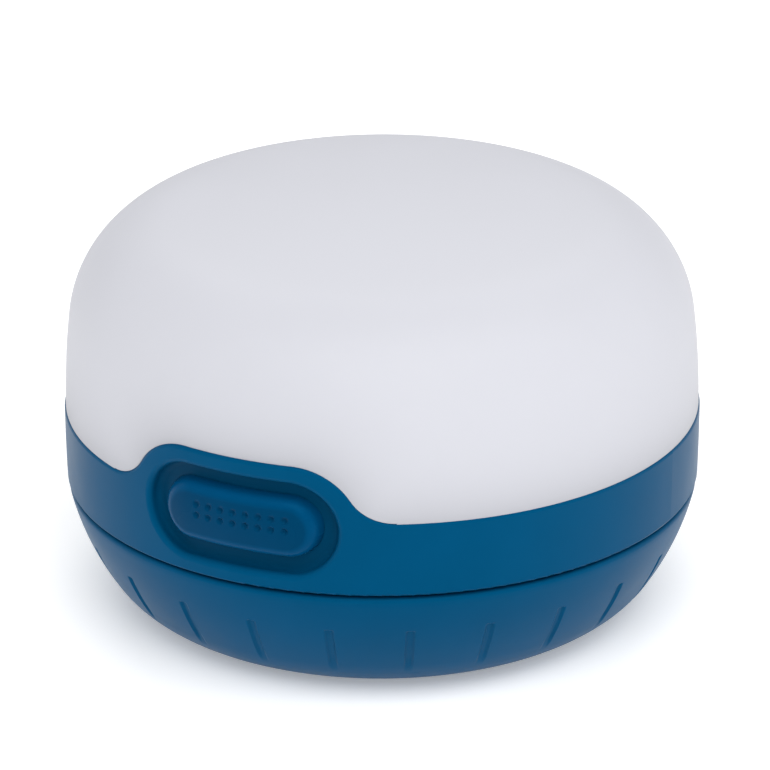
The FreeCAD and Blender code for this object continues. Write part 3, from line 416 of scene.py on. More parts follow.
def draw_bowl(base):
    """Along the foot ring, up the bowl's outside and round the rim."""
    foot, bowl = bowl_arcs(0.0)
    low, high = groove_angles()
    end = GROOVE_END / BOWL_RADIUS
    lap = ((foot.end - low) * BOWL_RADIUS + GROOVE_END / 2) / FOOT_RADIUS
    run_to(base, foot.centre.x, 0.0, RING_STEPS)
    swing(foot.centre, foot.start, foot.end - lap, FOOT_STEPS)
    swing(foot.centre, foot.end - lap, foot.end, LAP_STEPS)
    rim_z = PARTING_Z - RIM_ROUND
    rim_x = bowl.centre.x + math.sqrt((BOWL_RADIUS - RIM_ROUND) ** 2 - (bowl.centre.y - rim_z) ** 2)
    rim = math.atan2(rim_z - bowl.centre.y, rim_x - bowl.centre.x)
    stops = (bowl.start, high - end, high + end / 4, rim)
    for start, stop, steps in zip(stops, stops[1:], BOWL_STEPS):
        swing(bowl.centre, start, stop, steps)
    swing((rim_x, rim_z), rim, QUARTER, CORNER_STEPS)


draw_bowl(base)
print("points up to the rim:", count_points(base))

# %% Draw the base's inside
BASE_WALL = 1.8
BASE_FLOOR = 1.6
RIM_WALL = 2.87
BORE_DEPTH = 5.3
INSIDE_STEPS = 6


def draw_inside(base):
    """Down the bore, along the inside of the bowl and over the pocket back to the axis."""
    bore = RIM_RADIUS - RIM_WALL
    step_z = PARTING_Z - BORE_DEPTH
    run_to(base, bore, PARTING_Z)
    run_to(base, bore, step_z)
    foot, bowl = bowl_arcs(BASE_WALL)
    step = math.asin((step_z - bowl.centre.y) / bowl.radius)
    run_to(base, bowl.centre.x + bowl.radius * math.cos(step), step_z)
    swing(bowl.centre, step, bowl.start, INSIDE_STEPS)
    swing(foot.centre, foot.end, foot.start, INSIDE_STEPS)
    hub = HOOK_POCKET_RADIUS + BASE_FLOOR
    run_to(base, hub, BASE_WALL)
    run_to(base, hub, HOOK_POCKET_TOP + BASE_FLOOR)
    run_to(base, 0.0, HOOK_POCKET_TOP + BASE_FLOOR, RING_STEPS)


draw_inside(base)
print("points in the whole section:", count_points(base))

# %% [markdown]
# A groove has a flat bed, sloped sides and a rounded upper end, and it runs out softly at its lower end,
# as where a straight rib of the tool leaves a round bowl. Its depth is a rule of two distances, so it can
# be pressed into any mesh that is fine enough.

# %% Work out a groove's depth
GROOVE_WIDTH = 1.1
GROOVE_DEPTH = 0.28
GROOVE_SLOPE = 0.3
GROOVE_CORNER = 0.28
GROOVE_FADE = 3.0


def ease(value):
    share = min(max(value, 0.0), 1.0)
    return share * share * (3 - 2 * share)


def groove_depth(across, along):
    """How far a place is pressed in, from how far it is beside and above the groove's middle."""
    side = across - GROOVE_WIDTH / 2 + GROOVE_CORNER
    end = abs(along) - GROOVE_RUN / 2 + GROOVE_CORNER
    outside = math.hypot(max(side, 0.0), max(end, 0.0)) + min(max(side, end), 0.0) - GROOVE_CORNER
    run_out = ease((along + GROOVE_RUN / 2) / GROOVE_FADE)
    return GROOVE_DEPTH * run_out * ease(-outside / GROOVE_SLOPE)


print("depth in the middle of a groove:", groove_depth(0.0, 0.0))

# %% Press a groove into a slice
GROOVE_COUNT = 24
SLICE = FULL_TURN / GROOVE_COUNT
SIDE_STEPS = 5
GROOVE_STEPS = 26


def press_groove(piece, middle):
    """Push the points of the bowl's outside towards the bowl's centre where the groove lies."""
    centre = bowl_arcs(0.0)[1].centre
    half_way = sum(groove_angles()) / 2
    mesh = bmesh.from_edit_mesh(piece.data)
    for point in mesh.verts:
        x, y, z = point.co / MM
        radius = math.hypot(x, y)
        spoke = Vector((radius - centre.x, z - centre.y))
        if abs(spoke.length - BOWL_RADIUS) > GROOVE_DEPTH:
            continue
        turn = math.atan2(y, x)
        along = (math.atan2(spoke.y, spoke.x) - half_way) * BOWL_RADIUS
        depth = groove_depth(abs(turn - middle) * radius, along)
        spoke *= 1 - depth / spoke.length
        out = centre.x + spoke.x
        point.co = Vector((out * math.cos(turn), out * math.sin(turn), centre.y + spoke.y)) * MM
    bmesh.update_edit_mesh(piece.data)


def spin_slice(piece):
    """Spin the section through one slice: coarse, fine over the groove, coarse again."""
    bpy.ops.mesh.select_all(action="SELECT")
    for steps in (SIDE_STEPS, GROOVE_STEPS, SIDE_STEPS):
        bpy.ops.mesh.spin(steps=steps, angle=-SLICE / 3, center=(0, 0, 0), axis=(0, 0, 1))
    press_groove(piece, SLICE / 2)


spin_slice(base)
print("points in one slice:", count_points(base))

# %% Repeat the slice round the axis
GROOVE_TURN = math.radians(-88.5)


def repeat_slice(piece):
    """Copy the slice all round, and turn the ring so that the grooves stand where they were seen."""
    bpy.ops.mesh.select_all(action="SELECT")
    bpy.ops.mesh.spin(steps=GROOVE_COUNT, angle=FULL_TURN, center=(0, 0, 0), axis=(0, 0, 1), dupli=True)
    bpy.ops.mesh.select_all(action="SELECT")
    mesh = bmesh.from_edit_mesh(piece.data)
    turn = Matrix.Rotation(GROOVE_TURN - SLICE / 2, 4, "Z")
    bmesh.ops.transform(mesh, matrix=turn, verts=mesh.verts)
    bmesh.update_edit_mesh(piece.data)
    return clean_up(piece)


repeat_slice(base)
smooth(base)
report(base)

# %% [markdown]
# ## The button
# The button is a soft oval pad with two rows of small dimples. It is drawn flat, as one oval loop that
# is extruded forwards and drawn in again and again until it closes on its middle line. A bevelled block
# could stand for it, but the loops leave a fine, even mesh across the face, which the dimples need.

# %% Draw the button's oval
BUTTON_RUN = 5.75
BUTTON_SKIRT_RADIUS = 3.47
BUTTON_BACK = 3.9
OVAL_RUN_STEPS = 144
OVAL_END_STEPS = 32


def draw_oval(name, radius, depth):
    oval = start_profile(name, -BUTTON_RUN, BUTTON_Z - radius)
    run_to(oval, BUTTON_RUN, BUTTON_Z - radius, OVAL_RUN_STEPS)
    swing((BUTTON_RUN, BUTTON_Z), -QUARTER, QUARTER, OVAL_END_STEPS)
    run_to(oval, -BUTTON_RUN, BUTTON_Z + radius, OVAL_RUN_STEPS)
    swing((-BUTTON_RUN, BUTTON_Z), QUARTER, 3 * QUARTER, OVAL_END_STEPS)
    bpy.ops.mesh.select_all(action="SELECT")
    bpy.ops.mesh.remove_doubles(threshold=MERGE)
    bpy.ops.transform.translate(value=(0, depth * MM, 0))
    return oval


button = draw_oval("button", BUTTON_SKIRT_RADIUS, BUTTON_BACK)
print("points in the oval:", count_points(button))

# %% Draw the oval in to the middle of the face
BUTTON_RADIUS = 3.35
BUTTON_SKIRT_DEPTH = 1.5
BUTTON_PROUD = 0.3
BUTTON_ROUND = 1.2
BUTTON_CROWN = 0.12
DIMPLE_BAND = 1.4
ROUND_STEPS = 12
FACE_STEP = 0.2
DIMPLE_STEP = 0.08
TINY = 0.001


def next_oval(piece, old_radius, new_radius, depth):
    """Extrude the selected oval, and draw it to another radius and depth."""
    share = new_radius / old_radius

    def place(point):
        beyond = max(abs(point.x) - BUTTON_RUN, 0.0)
        x = math.copysign(min(abs(point.x), BUTTON_RUN) + beyond * share, point.x)
        return Vector((x, depth, BUTTON_Z + (point.z - BUTTON_Z) * share))

    next_loop(piece, place)


def button_loops():
    """Radius and depth of each loop, from the skirt that fills the hole to the middle of the face."""
    yield BUTTON_SKIRT_RADIUS, BUTTON_SKIRT_DEPTH
    rim = BUTTON_CROWN - BUTTON_PROUD
    yield BUTTON_RADIUS, rim + BUTTON_ROUND
    edge = BUTTON_RADIUS - BUTTON_ROUND
    for step in range(1, ROUND_STEPS + 1):
        angle = QUARTER * step / ROUND_STEPS
        yield edge + BUTTON_ROUND * math.cos(angle), rim + BUTTON_ROUND * (1 - math.sin(angle))
    radius = edge
    while radius > 0.0:
        step = FACE_STEP if radius > DIMPLE_BAND else DIMPLE_STEP
        radius = max(radius - step, 0.0)
        yield radius, BUTTON_CROWN * (radius / edge) ** 2 - BUTTON_PROUD


def close_button(button):
    """Draw the loops in to the face's middle line, and close the back in the same way."""
    radius = BUTTON_SKIRT_RADIUS
    for new_radius, depth in button_loops():
        next_oval(button, radius, new_radius, depth)
        radius = max(new_radius, TINY)
    select_points(button, lambda place: place.y > BUTTON_BACK - TINY)
    next_oval(button, BUTTON_SKIRT_RADIUS, 0.0, BUTTON_BACK)


close_button(button)
print("points in the flat button:", count_points(button))

# %% [markdown]
# The dimples are pressed into the flat face as small bowls, and the pattern is then laid on the collar's
# round wall. A bend could do that last step too, but the real button slides straight back, so its sides
# stay parallel.

# %% Press the dimples in and lay the button on the wall
DIMPLE_COLUMNS = 8
DIMPLE_ROWS = 2
DIMPLE_PITCH = 1.487
DIMPLE_ROW_PITCH = 1.22
DIMPLE_LIFT = 0.55
DIMPLE_SHIFT = 0.6
DIMPLE_MOUTH = 0.4
DIMPLE_DEPTH = 0.3
BUTTON_SMOOTH_ANGLE = 50


def dimple_places():
    left = DIMPLE_SHIFT - (DIMPLE_COLUMNS - 1) / 2 * DIMPLE_PITCH
    low = BUTTON_Z + DIMPLE_LIFT - (DIMPLE_ROWS - 1) / 2 * DIMPLE_ROW_PITCH
    for row in range(DIMPLE_ROWS):
        for column in range(DIMPLE_COLUMNS):
            yield Vector((left + column * DIMPLE_PITCH, low + row * DIMPLE_ROW_PITCH))


def press_dimples(piece):
    places = list(dimple_places())
    mesh = bmesh.from_edit_mesh(piece.data)
    for point in mesh.verts:
        if point.co.y / MM > BUTTON_ROUND / 2:
            continue
        here = Vector((point.co.x, point.co.z)) / MM
        away = min((here - place).length for place in places)
        inside = max(1 - (away / DIMPLE_MOUTH) ** 2, 0.0)
        point.co.y += DIMPLE_DEPTH * MM * inside
    bmesh.update_edit_mesh(piece.data)


def lay_on_wall(piece):
    """Turn each point's depth into a place behind the collar's round wall, straight back along Y."""
    mesh = bmesh.from_edit_mesh(piece.data)
    for point in mesh.verts:
        x, depth, z = point.co / MM
        point.co = Vector((x, -math.sqrt((BODY_RADIUS - depth) ** 2 - x ** 2), z)) * MM
    bmesh.update_edit_mesh(piece.data)


press_dimples(button)
lay_on_wall(button)
clean_up(button)
smooth(button, BUTTON_SMOOTH_ANGLE)
report(button)

# %% [markdown]
# ## The hooks
# Each hook is a round steel wire with a head at one end, like a nail, bent round two pins. A curve with
# a round bevel could stand for it, but here the wire's section is pushed along the leg and spun round
# both bends, which is what the bending jig does. The free end is rounded like a half ball.

# %% Push the wire and round its tip
hook_low, hook_high = box_mm("hang_hook_rear")
HOOK_Z = (hook_low.z + hook_high.z) / 2
HOOK_WIRE_RADIUS = 1.0
HOOK_LEG_Y = 4.0
TIP_STEPS = 5


def push_wire(hook, x, radius):
    """Extrude the wire's section along the leg to x, at a radius."""
    middle = Vector((x, HOOK_LEG_Y, HOOK_Z))

    def place(point):
        spoke = Vector((0, point.y - HOOK_LEG_Y, point.z - HOOK_Z))
        return middle + spoke.normalized() * radius

    next_loop(hook, place)


def ring_of_tip(tip, ahead, angle):
    """The rule that draws the wire's end to one ring of the half ball."""
    middle = tip + ahead * HOOK_WIRE_RADIUS * math.sin(angle)
    radius = HOOK_WIRE_RADIUS * math.cos(angle)

    def place(point):
        spoke = point - tip
        spoke -= ahead * spoke.dot(ahead)
        return middle + spoke.normalized() * radius

    return place


def round_tip(hook, tip, ahead):
    for step in range(1, TIP_STEPS + 1):
        next_loop(hook, ring_of_tip(tip, ahead, QUARTER * step / TIP_STEPS))


print("wire at height", round(HOOK_Z, 2))

# %% Bend a hook
HOOK_HEAD_RADIUS = (hook_high.z - hook_low.z) / 2
HOOK_HEAD_LENGTH = 0.8
HOOK_HEAD_ROUND = 0.2
HOOK_BEND = 2.5
HOOK_LOOP_RADIUS = 9.5
HOOK_LOOP_SWEEP = math.radians(140)
HOOK_LEG = HOOK_LOOP_RADIUS - HOOK_BEND
WIRE_SIDES = 28
BEND_STEPS = 12
LOOP_STEPS = 44


def start_wire(name, end):
    """The ring at the end of the wire's head, open in edit mode."""
    deselect_all()
    bpy.ops.mesh.primitive_circle_add(vertices=WIRE_SIDES, radius=(HOOK_HEAD_RADIUS - HOOK_HEAD_ROUND) * MM,
                                      location=Vector((end, HOOK_LEG_Y, HOOK_Z)) * MM,
                                      rotation=(0, QUARTER, 0))
    hook = bpy.context.object
    hook.name = name
    bpy.ops.object.transform_apply()
    edit(hook)
    bpy.ops.mesh.select_all(action="SELECT")
    return hook


def draw_hook(name):
    end = -HOOK_LEG - HOOK_HEAD_LENGTH
    hook = start_wire(name, end)
    push_wire(hook, end + HOOK_HEAD_ROUND, HOOK_HEAD_RADIUS)
    push_wire(hook, -HOOK_LEG - HOOK_HEAD_ROUND, HOOK_HEAD_RADIUS)
    push_wire(hook, -HOOK_LEG, HOOK_HEAD_RADIUS - HOOK_HEAD_ROUND)
    push_wire(hook, -HOOK_LEG, HOOK_WIRE_RADIUS)
    push_wire(hook, HOOK_LEG, HOOK_WIRE_RADIUS)
    loop = Vector((0, HOOK_LEG_Y + HOOK_BEND, HOOK_Z))
    bend = loop + Vector((HOOK_LEG, 0, 0))
    bpy.ops.mesh.spin(steps=BEND_STEPS, angle=-QUARTER, center=bend * MM, axis=(0, 0, 1))
    bpy.ops.mesh.spin(steps=LOOP_STEPS, angle=-HOOK_LOOP_SWEEP, center=loop * MM, axis=(0, 0, 1))
    out = Vector((math.cos(HOOK_LOOP_SWEEP), math.sin(HOOK_LOOP_SWEEP), 0))
    round_tip(hook, loop + out * HOOK_LOOP_RADIUS, Vector((-out.y, out.x, 0)))
    bpy.ops.mesh.select_all(action="SELECT")
    bpy.ops.mesh.fill_holes(sides=0)
    return clean_up(hook)


rear_hook = draw_hook("rear_hook_wire")
smooth(rear_hook)
report(rear_hook)

# %% [markdown]
# The second hook is the same piece, turned half round the axis. Drawing it again would only repeat the
# work, so it is copied, with a mesh of its own.

# %% Copy the second hook
def copy_of(piece):
    make_active(piece)
    bpy.ops.object.duplicate()
    return bpy.context.object


def turn_half_round(piece, name):
    copy = copy_of(piece)
    copy.name = name
    copy.rotation_euler.z = math.pi
    bpy.ops.object.transform_apply()
    return copy


front_hook = turn_half_round(rear_hook, "front_hook_wire")
report(front_hook)

# %% [markdown]
# ## The saddle
# A small moulded block holds both hooks' legs in through bores, and two screws hold it up in the pocket.
# It starts as a block whose upright corners and lower edges are bevelled in edit mode. Bevels come
# before the bores, since a bevel across a cut edge would tear.

# %% Shape the saddle
saddle_low, saddle_high = box_mm("hook_saddle")
SADDLE_CORNER = 0.6
SADDLE_EDGE = 0.25
CORNER_SEGMENTS = 6
EDGE_SEGMENTS = 4


def select_edges(piece, test):
    """In edit mode, select the edges whose two ends, in millimetres, pass the test."""
    bpy.ops.mesh.select_mode(type="EDGE")
    bpy.ops.mesh.select_all(action="DESELECT")
    mesh = bmesh.from_edit_mesh(piece.data)
    for edge in mesh.edges:
        edge.select_set(test(*(point.co / MM for point in edge.verts)))
    bmesh.update_edit_mesh(piece.data)


def draw_saddle():
    deselect_all()
    bpy.ops.mesh.primitive_cube_add(size=MM, location=(saddle_low + saddle_high) / 2 * MM)
    saddle = bpy.context.object
    saddle.name = "saddle"
    saddle.scale = saddle_high - saddle_low
    bpy.ops.object.transform_apply()
    edit(saddle)
    select_edges(saddle, lambda one, other: abs(one.z - other.z) > SADDLE_CORNER)
    bpy.ops.mesh.bevel(offset=SADDLE_CORNER * MM, segments=CORNER_SEGMENTS, affect="EDGES")
    select_edges(saddle, lambda one, other: max(one.z, other.z) < saddle_low.z + TINY)
    bpy.ops.mesh.bevel(offset=SADDLE_EDGE * MM, segments=EDGE_SEGMENTS, affect="EDGES")
    return clean_up(saddle)


saddle = draw_saddle()
report(saddle)

# %% [markdown]
# The bores for the legs and the stepped holes for the screws are cut with round bars, as pins in the
# tool would leave them.

# %% Bore the saddle
screws_low, screws_high = box_mm("saddle_screws")
LEG_FIT = 0.06
SCREW_HEAD_RADIUS = 1.9
SCREW_HEAD_HEIGHT = 1.3
SCREW_RADIUS = 1.0
SCREW_HOLE_FIT = 0.25
SADDLE_SCREW_X = screws_high.x - SCREW_HEAD_RADIUS
BAR_SIDES = 48


def add_bar(name, radius, start, end):
    """A round bar between two points on a line along X or Z, for cutting a bore."""
    run = (end - start) * MM
    turn = Vector((0, 0, 1)).rotation_difference(run.normalized()).to_euler()
    deselect_all()
    bpy.ops.mesh.primitive_cylinder_add(vertices=BAR_SIDES, radius=radius * MM, depth=run.length,
                                        location=(start + end) / 2 * MM, rotation=turn)
    bar = bpy.context.object
    bar.name = name
    bpy.ops.object.transform_apply()
    return bar


def bore_saddle(saddle):
    for side in (-1, 1):
        left = Vector((saddle_low.x - CUT_SPARE, side * HOOK_LEG_Y, HOOK_Z))
        right = Vector((saddle_high.x + CUT_SPARE, side * HOOK_LEG_Y, HOOK_Z))
        cut_away(saddle, add_bar("leg_bore", HOOK_WIRE_RADIUS + LEG_FIT, left, right))
        x = side * SADDLE_SCREW_X
        under = Vector((x, 0, saddle_low.z - CUT_SPARE))
        seat = Vector((x, 0, screws_low.z + SCREW_HEAD_HEIGHT))
        over = Vector((x, 0, saddle_high.z + CUT_SPARE))
        cut_away(saddle, add_bar("head_bore", SCREW_HEAD_RADIUS + SCREW_HOLE_FIT, under, seat))
        cut_away(saddle, add_bar("shank_bore", SCREW_RADIUS + SCREW_HOLE_FIT, under, over))


bore_saddle(saddle)
smooth(saddle)
report(saddle)

# %% [markdown]
# ## The screws
# All the screws are the same pan-head thread-forming screw in different lengths. Each is turned from a
# profile: a domed head, a plain neck and a shank with ridges. A true helix would cost many faces that
# nobody sees. The cross recess is cut with two crossed bars, as a header punches it.

# %% Turn and punch a screw
SCREW_DOME = 0.4
THREAD_PITCH = 0.55
THREAD_DEPTH = 0.16
RECESS_REACH = 1.15
RECESS_WIDTH = 0.42
RECESS_DEEP = 0.8
SCREW_DOME_STEPS = 6
SCREW_TURNS = 32


def crown_ball(reach, rise):
    """Radius of the ball whose cap rises this much over this reach."""
    return (reach ** 2 + rise ** 2) / (2 * rise)


def draw_screw(name, length):
    """A screw at the origin, driven upwards, with its head under the height zero."""
    ball = crown_ball(SCREW_HEAD_RADIUS, SCREW_DOME)
    neck = SCREW_RADIUS - THREAD_DEPTH
    screw = start_profile(name, 0.0, -SCREW_HEAD_HEIGHT)
    edge = math.asin(SCREW_HEAD_RADIUS / ball) - QUARTER
    swing((0.0, ball - SCREW_HEAD_HEIGHT), -QUARTER, edge, SCREW_DOME_STEPS)
    run_to(screw, SCREW_HEAD_RADIUS, 0.0)
    run_to(screw, neck, 0.0)
    z = THREAD_PITCH
    while z + THREAD_PITCH < length:
        run_to(screw, neck, z)
        run_to(screw, SCREW_RADIUS, z + THREAD_PITCH / 2)
        z += THREAD_PITCH
    run_to(screw, neck, z)
    run_to(screw, 0.0, length)
    return turn_on_axis(screw, SCREW_TURNS)


def punch_cross(screw):
    for turn in (0.0, QUARTER):
        deselect_all()
        bpy.ops.mesh.primitive_cube_add(size=MM, location=(0, 0, -SCREW_HEAD_HEIGHT * MM),
                                        rotation=(0, 0, turn))
        bar = bpy.context.object
        bar.scale = (2 * RECESS_REACH, RECESS_WIDTH, 2 * RECESS_DEEP)
        bpy.ops.object.transform_apply()
        cut_away(screw, bar)


print("screw heads", 2 * SCREW_HEAD_RADIUS, "mm across, shanks", 2 * SCREW_RADIUS)

# %% [markdown]
# A set of screws is one piece here, because the solids have one node for each set. One screw of its
# length is drawn and copied to each place. The saddle's two and the tray's four go up, and the light
# board's three go down, on a ring. Their places are read from the sets' boxes, less the radius of a head.

# %% Drive the saddle's screws
SCREW_SMOOTH_ANGLE = 30


def drive(screw, x, y, seat, upwards):
    make_active(screw)
    screw.location = Vector((x, y, seat)) * MM
    screw.rotation_euler.x = 0.0 if upwards else math.pi
    bpy.ops.object.transform_apply()


def screw_set(name, places, seat, length, upwards=True):
    """One screw, copied to some places and joined as one piece."""
    first = draw_screw(name, length)
    punch_cross(first)
    smooth(first, SCREW_SMOOTH_ANGLE)
    screws = [first] + [copy_of(first) for _ in places[1:]]
    for screw, (x, y) in zip(screws, places):
        drive(screw, x, y, seat, upwards)
    make_active(first)
    for screw in screws:
        screw.select_set(True)
    bpy.ops.object.join()
    report(first)
    return first


saddle_places = [(-SADDLE_SCREW_X, 0), (SADDLE_SCREW_X, 0)]
seat = screws_low.z + SCREW_HEAD_HEIGHT
saddle_screws = screw_set("saddle_screw_pair", saddle_places, seat, screws_high.z - seat)

# %% Drive the tray's and the light board's screws
BOARD_SCREWS = 3


def ring_places(radius, count):
    """Places on a circle, the first one at the back."""
    for turn in range(count):
        angle = QUARTER + FULL_TURN * turn / count
        yield radius * math.cos(angle), radius * math.sin(angle)


tray_low, tray_high = box_mm("tray_screws")
corner = tray_high - Vector((SCREW_HEAD_RADIUS, SCREW_HEAD_RADIUS, 0))
tray_places = [(x * corner.x, y * corner.y) for x in (-1, 1) for y in (-1, 1)]
seat = tray_low.z + SCREW_HEAD_HEIGHT
tray_screws = screw_set("tray_screw_set", tray_places, seat, tray_high.z - seat)

board_low, board_high = box_mm("board_screws")
board_places = list(ring_places(board_high.y - SCREW_HEAD_RADIUS, BOARD_SCREWS))
seat = board_high.z - SCREW_HEAD_HEIGHT
board_screws = screw_set("board_screw_trio", board_places, seat, seat - board_low.z, upwards=False)

# %% [markdown]
# ## The foam pad
# A disc of die-cut foam lies on the base's floor and keeps the cells from rattling. Its face is slightly
# crowned and its cut edge is drawn in, as foam is where a knife has pressed through it. Cloth simulation
# could puff it up, but so thin a disc hardly changes, so it is turned from that section.

# %% Cut the foam pad
pad_low, pad_high = box_mm("cell_pad")
PAD_CROWN = 0.08
PAD_EDGE_ROUND = 0.25
PAD_UNDER_STEPS = 6
PAD_EDGE_STEPS = 5
PAD_TOP_STEPS = 10
PAD_TURNS = 72


def draw_foam():
    radius = pad_high.x
    reach = radius - PAD_EDGE_ROUND
    round_z = pad_high.z - PAD_CROWN - PAD_EDGE_ROUND
    ball = crown_ball(reach, PAD_CROWN)
    foam = start_profile("foam_pad", 0.0, pad_low.z)
    run_to(foam, reach, pad_low.z, PAD_UNDER_STEPS)
    run_to(foam, radius, pad_low.z + PAD_EDGE_ROUND)
    swing((reach, round_z), 0.0, QUARTER, PAD_EDGE_STEPS)
    swing((0.0, pad_high.z - ball), QUARTER - math.asin(reach / ball), QUARTER, PAD_TOP_STEPS)
    return turn_on_axis(foam, PAD_TURNS)


foam = draw_foam()
smooth(foam)
report(foam)

# %% [markdown]
# ## Finishes
# Every finish is made of nodes on the piece's own coordinates, so that it stays on the piece from any
# side. Image textures could do the same for one view, but nodes keep their detail however close the
# camera comes. A finish starts as a shader with its plain values, and noise at a real size is what most
# of them add.

# %% Helpers for starting a finish
def new_finish(name, colour, roughness, **sockets):
    """A material with its shader's own sockets set, and its tree and shader to build on."""
    finish = bpy.data.materials.new(name)
    finish.use_nodes = True
    shader = finish.node_tree.nodes["Principled BSDF"]
    shader.inputs["Base Color"].default_value = (*colour, 1)
    shader.inputs["Roughness"].default_value = roughness
    for socket, value in sockets.items():
        shader.inputs[socket.replace("_", " ")].default_value = value
    return finish, finish.node_tree, shader


def own_place(tree):
    return tree.nodes.new("ShaderNodeTexCoord").outputs["Object"]


def noise(tree, size_mm, detail=3.0, stretch=(1, 1, 1)):
    """Noise on the piece's own coordinates, with features of about this size."""
    shape = tree.nodes.new("ShaderNodeMapping")
    shape.inputs["Scale"].default_value = stretch
    tree.links.new(own_place(tree), shape.inputs["Vector"])
    grain = tree.nodes.new("ShaderNodeTexNoise")
    grain.inputs["Scale"].default_value = 1 / (size_mm * MM)
    grain.inputs["Detail"].default_value = detail
    tree.links.new(shape.outputs["Vector"], grain.inputs["Vector"])
    return grain.outputs["Fac"]


print("helpers for starting a finish ready")

# %% [markdown]
# The rest of a finish is arithmetic on those coordinates, done by small nodes in a row. Written out by
# hand that gets long, so each step has a helper that adds one node, or a few, and gives back its output.

# %% Helpers for arithmetic
def math_node(tree, operation, *values):
    """One step of arithmetic; a value is a number or another node's output."""
    node = tree.nodes.new("ShaderNodeMath")
    node.operation = operation
    for socket, value in zip(node.inputs, values):
        if isinstance(value, (int, float)):
            socket.default_value = value
        else:
            tree.links.new(value, socket)
    return node.outputs["Value"]


def own_axes(tree):
    axes = tree.nodes.new("ShaderNodeSeparateXYZ")
    tree.links.new(own_place(tree), axes.inputs["Vector"])
    return axes.outputs["X"], axes.outputs["Y"], axes.outputs["Z"]


def diagonal(tree, one, other):
    """The length whose two legs are given."""
    squares = [math_node(tree, "MULTIPLY", leg, leg) for leg in (one, other)]
    return math_node(tree, "SQRT", math_node(tree, "ADD", *squares))


def between_zero_and(tree, high, value):
    return math_node(tree, "MAXIMUM", math_node(tree, "MINIMUM", value, high), 0.0)


print("helpers for arithmetic ready")

# %% [markdown]
# Colour, gloss and bump come last. Noise keeps near its middle, so it is spread before it sets a gloss,
# and bump has a real height, so that it is as fine as the grain it stands for.

# %% Helpers for colour, gloss and bump
NOISE_LOW = 0.3
NOISE_HIGH = 0.7
BLACK = (0.0, 0.0, 0.0)


def mix_colours(tree, share, one, other):
    """A colour between two, each a plain colour or another node's output."""
    mix = tree.nodes.new("ShaderNodeMix")
    mix.data_type = "RGBA"
    ends = [socket for socket in mix.inputs if socket.type == "RGBA"]
    for socket, colour in zip(ends, (one, other)):
        if isinstance(colour, tuple):
            socket.default_value = (*colour, 1)
        else:
            tree.links.new(colour, socket)
    tree.links.new(share, next(socket for socket in mix.inputs if socket.type == "VALUE"))
    return next(socket for socket in mix.outputs if socket.type == "RGBA")


def spread(tree, value, low, high):
    """Noise, which keeps near its middle, spread over a range."""
    span = tree.nodes.new("ShaderNodeMapRange")
    limits = {"From Min": NOISE_LOW, "From Max": NOISE_HIGH, "To Min": low, "To Max": high}
    for name, number in limits.items():
        span.inputs[name].default_value = number
    tree.links.new(value, span.inputs["Value"])
    return span.outputs["Result"]


def add_bump(tree, shader, height, strength, height_mm):
    bump = tree.nodes.new("ShaderNodeBump")
    bump.inputs["Strength"].default_value = strength
    bump.inputs["Distance"].default_value = height_mm * MM
    tree.links.new(height, bump.inputs["Height"])
    tree.links.new(bump.outputs["Normal"], shader.inputs["Normal"])


def shade_of(colour, factor):
    return tuple(channel * factor for channel in colour)


print("helpers for colour, gloss and bump ready")

# %% [markdown]
# ## Moulded plastics and rubber
# A moulded surface copies its steel tool: a spark-eroded tool leaves a fine, even grain, and the flow of
# the plastic leaves faint, slow changes of gloss. One function makes them all, from the satin blue of
# the shell to the black of the battery tray, with its own grain size for each. A picture of a grain
# would repeat itself, and noise doesn't.

# %% A moulded finish
FLOW_SIZE = 9.0
GRAIN_DETAIL = 2.0
GRAIN_STRENGTH = 0.12


def moulded(name, colour, gloss, grain_mm, grain_depth=0.02, drift=0.04, painted_shade=None, **sockets):
    """A moulded finish; a shade rule, where one is given, builds the nodes that say where painted shade
    darkens the colour.
    """
    finish, tree, shader = new_finish(name, colour, sum(gloss) / 2, **sockets)
    flow = noise(tree, FLOW_SIZE)
    darker, lighter = shade_of(colour, 1 - drift), shade_of(colour, 1 + drift)
    tint = mix_colours(tree, spread(tree, flow, 0, 1), darker, lighter)
    if painted_shade:
        # painted shade: where the rule says, the colour is mixed towards black
        tint = mix_colours(tree, painted_shade(tree), tint, BLACK)
    tree.links.new(tint, shader.inputs["Base Color"])
    tree.links.new(spread(tree, flow, *gloss), shader.inputs["Roughness"])
    add_bump(tree, shader, noise(tree, grain_mm, GRAIN_DETAIL), GRAIN_STRENGTH, grain_depth)
    return finish


FINISHES = {
    "seal_rubber": moulded("black_seal_rubber", (0.012, 0.012, 0.013), (0.6, 0.75), 0.2, grain_depth=0.03),
    "switch_black": moulded("switch_black", (0.015, 0.015, 0.017), (0.38, 0.5), 0.1),
    "tray_black": moulded("tray_black", (0.02, 0.02, 0.022), (0.42, 0.55), 0.2),
    "saddle_black": moulded("saddle_black", (0.018, 0.019, 0.021), (0.4, 0.52), 0.18),
    "reflector_white": moulded("reflector_white", (0.8, 0.8, 0.79), (0.3, 0.42), 0.25, grain_depth=0.01),
    "pad_foam": moulded("foam_grey", (0.045, 0.045, 0.048), (0.8, 0.95), 0.35, grain_depth=0.25, drift=0.2),
}
print("moulded finishes:", len(FINISHES))

# %% [markdown]
# ## The blue of the shell and the button
# The collar, the base and the button are a satin blue. Down in the recess round the button the blue is
# darkened by painted shade, for the light that the recess keeps out, and the button's face is darkened by
# painted shade too, so that its rounded rim looks as if it catches the light. Both could be painted on the
# points of the mesh, but the collar is a solid with few points there. Here the depth and the distance
# from the button's middle line are worked out from the piece's own coordinates.

# %% Where painted shade darkens the blue
RECESS_RADIUS = 5.35
RECESS_DEPTH = 1.6
# shares of painted shade: deep in the recess, and over the button's face
RECESS_PAINTED_SHADE = 0.34
FACE_PAINTED_SHADE = 0.36


